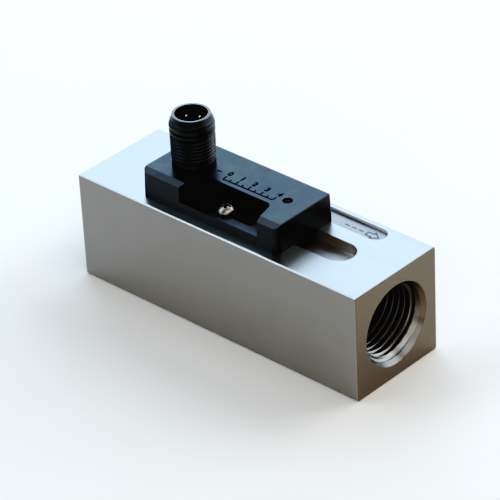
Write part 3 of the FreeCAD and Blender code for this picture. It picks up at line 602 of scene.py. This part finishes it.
def makeScale():
    # a base line with a long tick at each number and a short one between, and a stroke by the plug
    v = scaleMarks
    start, finish = np.array(v["from"]), np.array(v["to"])
    low = v["level"] - v["sink"]
    high = v["level"] + v["thickness"]
    along = unit(finish - start)
    up = np.array([-along[1], along[0]])
    grids = [flatSlab(bar(start, finish, v["stroke"]), low, high)]
    shares = np.linspace(0, 1, v["ticks"])
    for index, share in enumerate(shares):
        foot = start + (finish - start) * share
        reach = v["tickShort"] if index % 2 else v["tickLong"]
        grids.append(flatSlab(bar(foot + up * v["stroke"] / 2, foot + up * reach, v["stroke"]),
                              low, high))
    grids.append(flatSlab(bar(*v["plugMark"], v["stroke"]), low, high))
    lines = pieceFromGrids("scale_lines", [(grid * mm, False, True) for grid in grids], markSharp)
    places = [start + (finish - start) * share + up * (v["tickLong"] + v["numberGap"])
              for share in shares[::2]]
    slope = math.atan2(along[1], along[0])
    numbers = makeNumbers(v, places, slope)
    for piece in (lines, numbers):
        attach(piece, "switch_head")
    return lines, numbers


def makeFlowArrow():
    # a row of dashes, then an outline arrow drawn as one mitred band
    v = flowMark
    neck = v["to"] - v["headLength"]
    y = v["centre"]
    outline = [(v["from"], y - v["shaftHalf"]), (neck, y - v["shaftHalf"]), (neck, y - v["headHalf"]),
               (v["to"], y), (neck, y + v["headHalf"]), (neck, y + v["shaftHalf"]),
               (v["from"], y + v["shaftHalf"])]
    low = v["level"] - v["sink"]
    high = v["level"] + v["thickness"]
    grids = [(strokeLoop(outline, v["stroke"], low, high) * mm, True, True)]
    for start in v["dashes"]:
        dash = bar((start, y), (start + v["dashLength"], y), v["stroke"])
        grids.append((flatSlab(dash, low, high) * mm, False, True))
    piece = pieceFromGrids("flow_arrow", grids, markSharp)
    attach(piece, "flow_tube")
    return piece


scaleLines, scaleNumbers = makeScale()
flowArrow = makeFlowArrow()
print("marks made")


# shader node helpers


def feed(socket, value):
    if isinstance(value, bpy.types.NodeSocket):
        socket.id_data.links.new(value, socket)
    else:
        socket.default_value = value


def feedAll(node, values):
    for label, value in values.items():
        feed(node.inputs[label], value)
    return node.outputs


def newNode(tree, kind, **settings):
    node = tree.nodes.new(kind)
    for key, value in settings.items():
        setattr(node, key, value)
    return node


def fedNode(kind, values, **settings):
    # a node whose inputs take the values in turn, in the tree of the first socket among them
    tree = next(value.id_data for value in values if isinstance(value, bpy.types.NodeSocket))
    node = newNode(tree, kind, **settings)
    for socket, value in zip(node.inputs, values):
        feed(socket, value)
    return node.outputs


def mathOf(operation, *values, clamp=False):
    return fedNode("ShaderNodeMath", values, operation=operation, use_clamp=clamp)[0]


def times(first, second):
    return mathOf("MULTIPLY", first, second)


def vectorOf(operation, *values):
    return fedNode("ShaderNodeVectorMath", values, operation=operation)[0]


def splitOf(vector):
    return fedNode("ShaderNodeSeparateXYZ", [vector])


def ramp(value, fromLow, fromHigh, toLow=0.0, toHigh=1.0):
    # an eased step from one level to another, held beyond both ends
    values = (value, fromLow, fromHigh, toLow, toHigh)
    return fedNode("ShaderNodeMapRange", values, interpolation_type="SMOOTHSTEP")[0]


def noiseOf(vector, scale, detail, roughness):
    node = newNode(vector.id_data, "ShaderNodeTexNoise", noise_dimensions="3D")
    values = {"Vector": vector, "Scale": scale, "Detail": detail, "Roughness": roughness}
    return feedAll(node, values)["Fac"]


def mixOf(factor, first, second):
    # either side is a socket, or a tone of red, green and blue
    node = newNode(factor.id_data, "ShaderNodeMix", data_type="RGBA")
    feed(node.inputs["Factor"], factor)
    for socket, colour in ((node.inputs[6], first), (node.inputs[7], second)):
        feed(socket, (*colour, 1) if isinstance(colour, tuple) else colour)
    return node.outputs[2]


def newGroup(name, outputs=("Mask",), **inputs):
    tree = bpy.data.node_groups.new(name, "ShaderNodeTree")
    for label, default in {"Vector": (0, 0, 0), **inputs}.items():
        kind = "Vector" if isinstance(default, tuple) else "Float"
        socket = tree.interface.new_socket(label, in_out="INPUT", socket_type="NodeSocket" + kind)
        socket.default_value = default
    for label in outputs:
        tree.interface.new_socket(label, in_out="OUTPUT", socket_type="NodeSocketFloat")
    given = tree.nodes.new("NodeGroupInput")
    taken = tree.nodes.new("NodeGroupOutput")
    return tree, given.outputs, taken.inputs


def useGroup(group, place, **values):
    node = newNode(place.id_data, "ShaderNodeGroup", node_tree=group)
    return feedAll(node, {"Vector": place, **values})


def maskOf(group, place, **values):
    return useGroup(group, place, **values)["Mask"]


# shared effects

effectSet = {
    # scale, detail and roughness of each noise
    "wearNoise": (900.0, 4.0, 0.65),
    "speckNoise": (2600.0, 2.0, 0.6),
    "filmNoise": (120.0, 4.0, 0.6),
    # detail and roughness of a noise whose scale the finish gives
    "fineNoise": (5.0, 0.62),
    "coarseNoise": (3.0, 0.5),
    "cloudNoise": (4.0, 0.58),
    "coarseScale": 0.22,  # scale of the coarse grain against the fine one
    "cloudFloor": 0.42,  # thinner clouds leave no mark
    "facingUp": (0.35, 0.95),
    "specks": (0.62, 0.78),
    "filmAndShade": (0.35, 0.75),
    "filmMost": 0.4,
}

boxInputs = {"Centre": (0, 0, 0), "Half": (1, 1, 1)}


def depthsOf(given):
    # depth of a point below each pair of a box's faces
    place = vectorOf("ABSOLUTE", vectorOf("SUBTRACT", given["Vector"], given["Centre"]))
    return splitOf(vectorOf("SUBTRACT", given["Half"], place))


def buildEdgeWear():
    # the middle one of the three depths is small only beside an edge, and noise breaks the line up
    tree, given, taken = newGroup("edgeWear", **boxInputs, Width=0.5, Ragged=0.5)
    a, b, c = depthsOf(given)
    lower = mathOf("MINIMUM", a, b)
    upper = mathOf("MAXIMUM", a, b)
    middle = mathOf("MAXIMUM", lower, mathOf("MINIMUM", upper, c))
    rough = noiseOf(given["Vector"], *effectSet["wearNoise"])
    shift = times(mathOf("SUBTRACT", rough, 0.5), given["Ragged"])
    inMm = times(middle, 1 / mm)
    inMm = mathOf("ADD", inMm, times(shift, given["Width"]))
    feed(taken["Mask"], ramp(inMm, 0.0, given["Width"], 1.0, 0.0))
    return tree


def buildGrain():
    # noise stretched along the way the surface was drawn, rolled or moulded, at two sizes
    tree, given, taken = newGroup("surfaceGrain", ("Fine", "Coarse"), Stretch=(1, 1, 1), Scale=1.0)
    stretched = vectorOf("MULTIPLY", given["Vector"], given["Stretch"])
    feed(taken["Fine"], noiseOf(stretched, given["Scale"], *effectSet["fineNoise"]))
    wide = times(given["Scale"], effectSet["coarseScale"])
    feed(taken["Coarse"], noiseOf(stretched, wide, *effectSet["coarseNoise"]))
    return tree


def buildSmudge():
    # soft clouds with a harder core, for handling marks and uneven sheen
    tree, given, taken = newGroup("smudge", Scale=60.0, Spread=0.5)
    cloud = noiseOf(given["Vector"], given["Scale"], *effectSet["cloudNoise"])
    low = effectSet["cloudFloor"]
    high = mathOf("ADD", low, given["Spread"])
    feed(taken["Mask"], ramp(cloud, low, high))
    return tree


def buildDust():
    # fine specks and a thin film that lie only on what faces up
    v = effectSet
    tree, given, taken = newGroup("settledDust", Amount=0.2)
    normal = newNode(tree, "ShaderNodeNewGeometry").outputs["Normal"]
    up = ramp(splitOf(normal)["Z"], *v["facingUp"])
    specks = ramp(noiseOf(given["Vector"], *v["speckNoise"]), *v["specks"])
    filmAndShade = ramp(noiseOf(given["Vector"], *v["filmNoise"]), *v["filmAndShade"], 0.0, v["filmMost"])
    both = times(up, mathOf("ADD", specks, filmAndShade))
    feed(taken["Mask"], mathOf("MULTIPLY", both, given["Amount"], clamp=True))
    return tree


def buildWithin():
    # one inside a box and nought outside it, with a soft rim of the given width in millimetres
    tree, given, taken = newGroup("within", **boxInputs, Soft=0.1)
    a, b, c = depthsOf(given)
    nearest = mathOf("MINIMUM", mathOf("MINIMUM", a, b), c)
    inMm = times(nearest, 1 / mm)
    feed(taken["Mask"], ramp(inMm, 0.0, given["Soft"]))
    return tree


edgeWear = buildEdgeWear()
within = buildWithin()
surfaceGrain = buildGrain()
smudge = buildSmudge()
settledDust = buildDust()
print("shared effects built")


# finishes

grainSet = {
    "bumpReach": 0.0002,
    "metalSmudge": {"Scale": 45.0, "Spread": 0.35},
    "fineShare": 0.6,  # of the fine grain in a metal's tone; the coarse one has the rest
    "toneSpan": (0.3, 0.7),  # grain that gives the dark and the light tone
    "plasticSmudge": {"Scale": 90.0, "Spread": 0.4},
    "plasticRough": 0.16,
    "edgeShare": 0.6,
    "dustTone": (0.42, 0.42, 0.43),
}


def newFinish(name):
    finish = bpy.data.materials.new(name)
    finish.use_nodes = True
    tree = finish.node_tree
    tree.nodes.clear()
    shader = newNode(tree, "ShaderNodeBsdfPrincipled")
    out = newNode(tree, "ShaderNodeOutputMaterial")
    feed(out.inputs[0], shader.outputs[0])
    place = newNode(tree, "ShaderNodeTexCoord").outputs["Object"]
    return finish, shader, place


def fedBy(shader, label):
    return shader.inputs[label].links[0].from_socket


def bumpOf(height, strength):
    node = newNode(height.id_data, "ShaderNodeBump")
    values = {"Strength": strength, "Distance": grainSet["bumpReach"], "Height": height}
    return feedAll(node, values)["Normal"]


def heightOf(place, low, high):
    # nought below the low height and one above the high one, in metres
    return ramp(splitOf(place)["Z"], low, high)


def roughOf(marks, rough, grain, amount):
    # smudges run between the two roughnesses, and the grain adds to them or takes away
    grain = times(mathOf("SUBTRACT", grain, 0.5), amount)
    return mathOf("ADD", ramp(marks, 0.0, 1.0, *rough), grain)


def metalFinish(name, light, dark, rough, stretch, bump=0.05, grainRough=0.12):
    # grain runs between the dark and the light tone
    v = grainSet
    finish, shader, place = newFinish(name)
    grain = useGroup(surfaceGrain, place, Stretch=stretch)
    marks = maskOf(smudge, place, **v["metalSmudge"])
    tone = mathOf("ADD", times(grain["Fine"], v["fineShare"]),
                  times(grain["Coarse"], 1 - v["fineShare"]))
    feedAll(shader, {"Base Color": mixOf(ramp(tone, *v["toneSpan"]), dark, light), "Metallic": 1.0,
                     "Roughness": roughOf(marks, rough, grain["Fine"], grainRough),
                     "Normal": bumpOf(grain["Fine"], bump)})
    return finish, shader, place


def plasticFinish(name, light, dark, rough, gloss=0.5, scale=1500.0, bump=0.06, dust=0.0, edge=None,
                  edgeTone=None):
    # moulded grain for the bump, smudges for tone and sheen, and where asked rubbed edges and pale dust
    v = grainSet
    finish, shader, place = newFinish(name)
    grain = useGroup(surfaceGrain, place, Scale=scale)
    marks = maskOf(smudge, place, **v["plasticSmudge"])
    colour = mixOf(marks, dark, light)
    if edge:
        worn = maskOf(edgeWear, place, **edge)
        colour = mixOf(times(worn, v["edgeShare"]), colour, edgeTone)
    if dust:
        filmAndShade = maskOf(settledDust, place, Amount=dust)
        colour = mixOf(filmAndShade, colour, v["dustTone"])
    feedAll(shader, {"Base Color": colour, "Specular IOR Level": gloss,
                     "Roughness": roughOf(marks, rough, grain["Coarse"], v["plasticRough"]),
                     "Normal": bumpOf(grain["Fine"], bump)})
    return finish, shader, place


def basics(look):
    return look["light"], look["dark"], look["rough"]


barLook = {
    "light": (0.450, 0.442, 0.425),
    "dark": (0.425, 0.417, 0.400),
    "stretch": (25, 700, 700),
    "bump": 0.015,
    "grainRough": 0.04,
    "stain": (0.52, 0.51, 0.49),
    "stainShare": 0.06,
    "edge": (0.50, 0.50, 0.50),
    "edgeShare": 0.6,
    "edgeSmooth": 0.06,  # taken off the roughness along the edges
    # painted shade: the end faces darker and browner than the rest of the bar
    "end": (0.184, 0.160, 0.130),
    "endStain": 1.06,  # how much brighter the ends are where they are stained
    # painted shade: the front and back faces darker and warmer than the top
    "side": (0.349, 0.335, 0.318),
    "groove": (0.295, 0.288, 0.280),
    # painted light: the groove's wall, the slot's brown walls and its bluish floor lighter than the bar
    "grooveWall": (0.84, 0.85, 0.85),
    "slot": (0.56, 0.50, 0.43),
    "slotFloor": (0.58, 0.60, 0.62),
    # painted shade: the port bores darker than the bar, turning browner towards the top, a painted
    # reflection of the room
    "mouth": (0.208, 0.212, 0.215),
    "mouthShade": (0.215, 0.172, 0.122),
    "shadeSpan": (0.0065, 0.0145),
    # painted contact shadow: a dark brown line along the bottom edges
    "foot": (0.10, 0.08, 0.055),
    "rough": (0.30, 0.34),
    # added to the roughness in each place
    "sideRough": 0.30,
    "wallRough": 0.26,
    "floorRough": 0.11,
    "grooveRough": 0.5,
}

barEdges = {"Centre": (0, 0, 0.015), "Half": (0.0467, 0.015, 0.015), "Width": 0.45, "Ragged": 0.7}
barStains = {"Scale": 30.0, "Spread": 0.3}
barZones = {
    "between": {"Half": (0.0466, 1, 1), "Soft": 0.08},  # all but the two ends
    "inside": {"Half": (1, 0.01495, 1), "Soft": 0.1},  # all but the front and back faces
    "groove": {"Centre": (0.0164, 0.0105, 0.0291), "Half": (0.019, 0.0031, 0.00025), "Soft": 0.05},
    "grooveWall": {"Centre": (0.0164, 0.0105, 0.0296), "Half": (0.019, 0.0034, 0.00038), "Soft": 0.06},
    "slot": {"Centre": (0.0082, -0.0012, 0.0281), "Half": (0.0263, 0.0047, 0.00185), "Soft": 0.1},
    "slotFloor": {"Centre": (0.0082, -0.0012, 0.0267), "Half": (0.0263, 0.0047, 0.0004), "Soft": 0.2},
    # the ports' bores, where the painted shade goes
    "core": {"Centre": (0, 0, 0.015), "Half": (1, 0.01145, 0.01145), "Soft": 0.1},
    # the bottom 0.6 mm, where the painted contact shadow goes
    "low": {"Half": (1, 1, 0.0006), "Soft": 0.25},
}


def makeBarFinish():
    # drawn lines along the bar, duller sides, painted shade on the sides and the ends, a milled slot and
    # groove with rougher walls and painted light on the slot and the groove's wall, painted shade in the
    # port bores browning towards the top, brighter edges and a dark line along the foot, a painted contact
    # shadow
    v = barLook
    finish, shader, place = metalFinish("satinBar", *basics(v), v["stretch"], v["bump"], v["grainRough"])
    worn = maskOf(edgeWear, place, **barEdges)
    stains = maskOf(smudge, place, **barStains)
    zone = {label: maskOf(within, place, **box) for label, box in barZones.items()}
    base = fedBy(shader, "Base Color")
    base = mixOf(times(stains, v["stainShare"]), base, v["stain"])
    # the front and back faces take the side tone, a painted shade
    base = mixOf(zone["inside"], v["side"], base)
    # painted light on the slot's walls and floor and on the groove's wall
    for label in ("groove", "grooveWall", "slot", "slotFloor"):
        base = mixOf(zone[label], base, v[label])
    # painted shade in the port bores, darker and browner towards the top
    filmAndShade = heightOf(place, *v["shadeSpan"])
    base = mixOf(zone["core"], base, mixOf(filmAndShade, v["mouth"], v["mouthShade"]))
    base = mixOf(times(worn, v["edgeShare"]), base, v["edge"])
    # dark line along the bottom edges, a painted contact shadow
    base = mixOf(times(worn, zone["low"]), base, v["foot"])
    # the ends take the darker tone, a painted shade, with stains on it
    shadedEnd = mixOf(stains, v["end"], tuple(c * v["endStain"] for c in v["end"]))
    feed(shader.inputs["Base Color"], mixOf(zone["between"], shadedEnd, base))
    rough = fedBy(shader, "Roughness")
    rough = mathOf("ADD", rough, ramp(zone["inside"], 0.0, 1.0, v["sideRough"], 0.0))
    cut = ramp(zone["slotFloor"], 0.0, 1.0, v["wallRough"], v["floorRough"])
    rough = mathOf("ADD", rough, times(zone["slot"], cut))
    rough = mathOf("ADD", rough, times(zone["grooveWall"], v["grooveRough"]))
    rough = mathOf("SUBTRACT", rough, times(worn, v["edgeSmooth"]))
    feed(shader.inputs["Roughness"], rough)
    return finish


threadLook = {
    "light": (0.33, 0.325, 0.315),
    "dark": (0.285, 0.28, 0.27),
    # painted shade: the darker brown tone towards the top of the bore
    "filmAndShade": (0.115, 0.098, 0.074),
    "shadeSpan": (0.007, 0.018),
    "rough": (0.30, 0.38),
    "stretch": (900, 120, 120),
    "bump": 0.03,
}


def makeThreadFinish():
    # bright cut below, turning darker and browner towards the top, a painted shade
    v = threadLook
    finish, shader, place = metalFinish("threadCut", *basics(v), v["stretch"], v["bump"])
    # painted shade, rising towards the top of the thread
    filmAndShade = heightOf(place, *v["shadeSpan"])
    feed(shader.inputs["Base Color"], mixOf(filmAndShade, fedBy(shader, "Base Color"), v["filmAndShade"]))
    return finish


screwLook = {
    "light": (0.42, 0.405, 0.36),
    "dark": (0.35, 0.335, 0.29),
    "rough": (0.30, 0.36),
    "stretch": (400, 400, 400),
    "bump": 0.03,
    # painted shade: the cross recess darker than the zinc
    "recessShade": (0.05, 0.047, 0.04),
    "recessLift": 0.7,  # of the dark box's middle above the seat
    "recessBox": {"Half": (0.0014, 0.0014, 0.00085), "Soft": 0.25},
}


def makeScrewFinish():
    # zinc, with painted shade in the cross recess
    v = screwLook
    finish, shader, place = metalFinish("zincScrew", *basics(v), v["stretch"], v["bump"])
    x, y = clampScrew["axis"]
    centre = (x * mm, y * mm, (clampScrew["seat"] + v["recessLift"]) * mm)
    recessShade = maskOf(within, place, Centre=centre, **v["recessBox"])
    # the recess takes the dark tone, a painted shade
    feed(shader.inputs["Base Color"], mixOf(recessShade, fedBy(shader, "Base Color"), v["recessShade"]))
    return finish


plugLook = {
    "light": (0.010, 0.0105, 0.012),
    "dark": (0.006, 0.0065, 0.0075),
    "rough": (0.38, 0.46),
    "gloss": 0.6,
    "rim": {"Centre": (0, 0, 0.0526), "Half": (1, 1, 0.0003), "Soft": 0.2},
    "rimSmooth": 0.16,  # taken off the roughness on the rim
    "coatRough": 0.25,
}


def makePlugFinish():
    # dull sides and a smoother rim round the mouth
    v = plugLook
    finish, shader, place = plasticFinish("plugBlack", *basics(v), v["gloss"])
    rim = maskOf(within, place, **v["rim"])
    rough = mathOf("SUBTRACT", fedBy(shader, "Roughness"), times(rim, v["rimSmooth"]))
    feedAll(shader, {"Roughness": rough, "Coat Weight": rim, "Coat Roughness": v["coatRough"]})
    return finish


glassLook = {
    "clean": (0.78, 0.90, 0.82),
    "marked": (0.68, 0.82, 0.73),
    "rough": (0.03, 0.10),
    "smudge": {"Scale": 300.0, "Spread": 0.4},
    "sockets": {"Transmission Weight": 0.9, "IOR": 1.5},
}

lampLook = {
    "clean": (0.045, 0.004, 0.005),
    "marked": (0.075, 0.006, 0.007),
    "rough": (0.30, 0.42),
    "smudge": {"Scale": 700.0, "Spread": 0.4},
    "sockets": {"Specular IOR Level": 0.08},
}


def makeSmoothFinish(name, look):
    # no grain, only smudges, which change tone and roughness
    finish, shader, place = newFinish(name)
    marks = maskOf(smudge, place, **look["smudge"])
    feedAll(shader, {"Base Color": mixOf(marks, look["clean"], look["marked"]), **look["sockets"],
                     "Roughness": ramp(marks, 0.0, 1.0, *look["rough"])})
    return finish


headLook = {
    "light": (0.012, 0.0125, 0.014),
    "dark": (0.006, 0.0065, 0.0075),
    "rough": (0.30, 0.40),
    "gloss": 0.52,
    "dust": 0.1,
    "edge": {"Centre": (-0.0039, -0.00185, 0.0339), "Half": (0.0232, 0.01045, 0.00393), "Width": 0.35,
             "Ragged": 0.8},
    "edgeTone": (0.05, 0.052, 0.058),
}

boardLook = {
    "light": (0.045, 0.24, 0.11),
    "dark": (0.03, 0.17, 0.08),
    "rough": (0.28, 0.42),
    "scale": 900.0,
    "bump": 0.03,
}

plainMetals = {
    # finish, light and dark tone, low and high roughness as a pair, stretch of the grain
    "spring": ("springWire", (0.70, 0.70, 0.71), (0.55, 0.55, 0.56), (0.22, 0.34), (500, 500, 500)),
    "seat": ("seatBrass", (0.80, 0.63, 0.32), (0.66, 0.49, 0.22), (0.26, 0.40), (900, 150, 150)),
    "magnet": ("nickelSkin", (0.72, 0.70, 0.66), (0.60, 0.58, 0.55), (0.18, 0.30), (300, 300, 300)),
    "wire": ("tinnedWire", (0.74, 0.74, 0.72), (0.60, 0.60, 0.58), (0.26, 0.40), (500, 500, 500)),
    "gold": ("goldPin", (0.66, 0.54, 0.30), (0.56, 0.44, 0.22), (0.24, 0.32), (700, 700, 200)),
}

plainPlastics = {
    # finish, light and dark tone, low and high roughness as a pair, gloss
    "carrier": ("carrierBlack", (0.012, 0.012, 0.014), (0.007, 0.007, 0.008), (0.45, 0.60), 0.5),
    "acetal": ("naturalAcetal", (0.86, 0.85, 0.80), (0.78, 0.77, 0.71), (0.34, 0.48), 0.5),
    "rubber": ("sealRubber", (0.022, 0.022, 0.022), (0.014, 0.014, 0.014), (0.5, 0.66), 0.5),
    "resistor": ("resistorCoat", (0.05, 0.05, 0.055), (0.03, 0.03, 0.034), (0.4, 0.55), 0.5),
    # matt ink, with almost no gloss of its own
    "headMark": ("markDark", (0.004, 0.004, 0.005), (0.002, 0.002, 0.003), (0.6, 0.75), 0.06),
    "barMark": ("markGrey", (0.13, 0.13, 0.14), (0.08, 0.08, 0.09), (0.6, 0.75), 0.06),
}

finishes = {
    "bar": makeBarFinish(),
    "thread": makeThreadFinish(),
    "screw": makeScrewFinish(),
    "plug": makePlugFinish(),
    "glass": makeSmoothFinish("capsuleGlass", glassLook),
    "lamp": makeSmoothFinish("lampLens", lampLook),
    "housing": plasticFinish("housingBlack", **headLook)[0],
    "board": plasticFinish("boardLacquer", **boardLook)[0],
}
for label, look in plainMetals.items():
    finishes[label] = metalFinish(*look)[0]
for label, look in plainPlastics.items():
    finishes[label] = plasticFinish(*look)[0]

wears = {
    "flow_body": "bar", "seat_ring": "seat", "seat_seal": "rubber", "inlet_retaining_ring": "spring",
    "outlet_retaining_ring": "spring", "piston": "acetal", "piston_magnet": "magnet",
    "magnet_plug": "acetal", "return_spring": "spring", "spring_spider": "acetal",
    "clamp_screw": "screw", "switch_housing": "housing", "base_cover": "housing",
    "circuit_board": "board", "reed_capsule": "glass", "reed_leads": "wire",
    "series_resistor": "resistor", "indicator_lamp": "lamp", "connector_shell": "plug",
    "contact_carrier": "carrier", "contact_pins": "gold",
}


def wear(piece, finish):
    piece.data.materials.clear()
    piece.data.materials.append(finish)


for label, finish in wears.items():
    wear(nodes[label], finishes[finish])
for piece, finish in ((outletThread, "thread"), (inletThread, "thread"), (plugPiece, "plug"),
                      (pinsPiece, "gold"), (screwPiece, "screw"), (springPiece, "spring"),
                      (scaleLines, "headMark"), (scaleNumbers, "headMark"), (flowArrow, "barMark")):
    wear(piece, finishes[finish])
print("finishes set")


# stage, light and camera

stageSet = {
    "floorHalf": 3.0,
    "floorLines": 9,
    "floorLevel": -0.00005,
    "floorTone": (0.96, 0.93, 0.89),
    "floorLight": 1.03,  # how much brighter its clouds are
    "floorClouds": (6.0, 3.0, 0.5),
    "floorRough": 0.9,
    "floorGloss": 0.1,
    "worldTone": (0.17, 0.145, 0.12),
    "worldPower": 0.9,
    # scene light against picture light: deep shadows are held down, the rest is left as it is
    "blackLevel": 0.0022,
    "toneCurve": ((0.03, 0.003), (0.06, 0.013), (0.10, 0.043), (0.13, 0.081), (0.165, 0.14),
                  (0.2, 0.205), (0.3, 0.31), (0.6, 0.61)),
}

panels = [
    # name, direction from the part, distance, width, height, roll in degrees, radiance, tone
    ("skyPanel", (-0.52, 0.70, 0.50), 1.7, 1.9, 1.7, 0, 2.45, (0.575, 0.775, 1.0)),
    ("sidePanel", (0.25, 0.74, 0.60), 1.5, 1.0, 1.1, 0, 2.6, (0.90, 0.96, 1.0)),
    ("edgePanel", (-0.585, -0.295, 0.755), 1.3, 2.0, 0.45, -33, 2.35, (0.72, 0.88, 1.0)),
    ("backPanel", (0.60, 0.78, 0.17), 1.6, 1.8, 0.5, 0, 2.6, (0.90, 0.96, 1.0)),
    ("leftPanel", (-0.585, -0.609, 0.535), 1.6, 1.0, 0.8, 0, 0.5, (0.38, 0.68, 1.0)),
    ("ceilingPanel", (0.45, -0.10, 0.88), 1.6, 1.1, 1.1, 0, 1.5, (0.98, 0.98, 0.97)),
    ("frontPanel", (0.52, -0.72, 0.46), 1.5, 1.1, 0.9, 0, 1.05, (1.0, 0.98, 0.95)),
]

cameraSet = {
    "place": (0.44077, -0.45979, 0.42202),
    "azimuth": 43.89, "elevation": 32.38, "roll": -3.02,
    "lens": 215.3,
    "sensor": 36.0,
    "clipStart": 0.01,
}


def makeFloor():
    v = stageSet
    edge = np.linspace(-v["floorHalf"], v["floorHalf"], v["floorLines"])
    x, y = np.meshgrid(edge, edge, indexing="ij")
    sheet = np.stack([x, y, np.full_like(x, v["floorLevel"])], -1)
    floor = pieceFromGrids("floor", [(sheet, False, False)])
    finish, shader, place = newFinish("paleFloor")
    clouds = noiseOf(place, *v["floorClouds"])
    light = tuple(min(1, c * v["floorLight"]) for c in v["floorTone"])
    feedAll(shader, {"Base Color": mixOf(clouds, v["floorTone"], light), "Roughness": v["floorRough"],
                     "Specular IOR Level": v["floorGloss"]})
    wear(floor, finish)


def makeLamps():
    # each panel faces the part; its power is radiance times pi times its area
    for name, direction, distance, width, height, roll, radiance, tone in panels:
        light = bpy.data.lights.new(name, "AREA")
        light.shape = "RECTANGLE"
        light.size = width
        light.size_y = height
        light.energy = radiance * math.pi * width * height
        light.color = tone
        holder = bpy.data.objects.new(name, light)
        holder.location = Vector(direction).normalized() * distance
        facing = (-holder.location).to_track_quat("-Z", "Y")
        holder.rotation_euler = (facing @ Quaternion((0, 0, 1), math.radians(roll))).to_euler()
        holder.visible_camera = False
        scene.collection.objects.link(holder)
    world = bpy.data.worlds.new("softRoom")
    world.use_nodes = True
    room = world.node_tree.nodes["Background"]
    feedAll(room, {"Color": (*stageSet["worldTone"], 1), "Strength": stageSet["worldPower"]})
    scene.world = world


def makeCamera():
    v = cameraSet
    az, el, roll = (math.radians(v[key]) for key in ("azimuth", "elevation", "roll"))
    back = Vector((math.sin(az) * math.cos(el), -math.cos(az) * math.cos(el), math.sin(el)))
    right = Vector((0, 0, 1)).cross(back).normalized()
    up = back.cross(right)
    across = right * math.cos(roll) + up * math.sin(roll)
    upward = up * math.cos(roll) - right * math.sin(roll)
    lens = bpy.data.cameras.new("photoCamera")
    lens.lens = v["lens"]
    lens.sensor_width = v["sensor"]
    lens.clip_start = v["clipStart"]
    lens.dof.use_dof = False
    camera = bpy.data.objects.new("photoCamera", lens)
    turn = Matrix((across, upward, back)).transposed().to_4x4()
    camera.matrix_world = Matrix.Translation(Vector(v["place"])) @ turn
    scene.collection.objects.link(camera)
    scene.camera = camera


def setGrade():
    # the tone curve goes on the curve that all three channels share
    grade = scene.view_settings
    grade.view_transform = "Standard"
    grade.use_curve_mapping = True
    shared = grade.curve_mapping.curves[3]
    shared.points[0].location = (0, stageSet["blackLevel"])
    for given, shown in stageSet["toneCurve"]:
        shared.points.new(given, shown)
    grade.curve_mapping.update()


makeFloor()
makeLamps()
makeCamera()
setGrade()
print("stage, light and camera set")
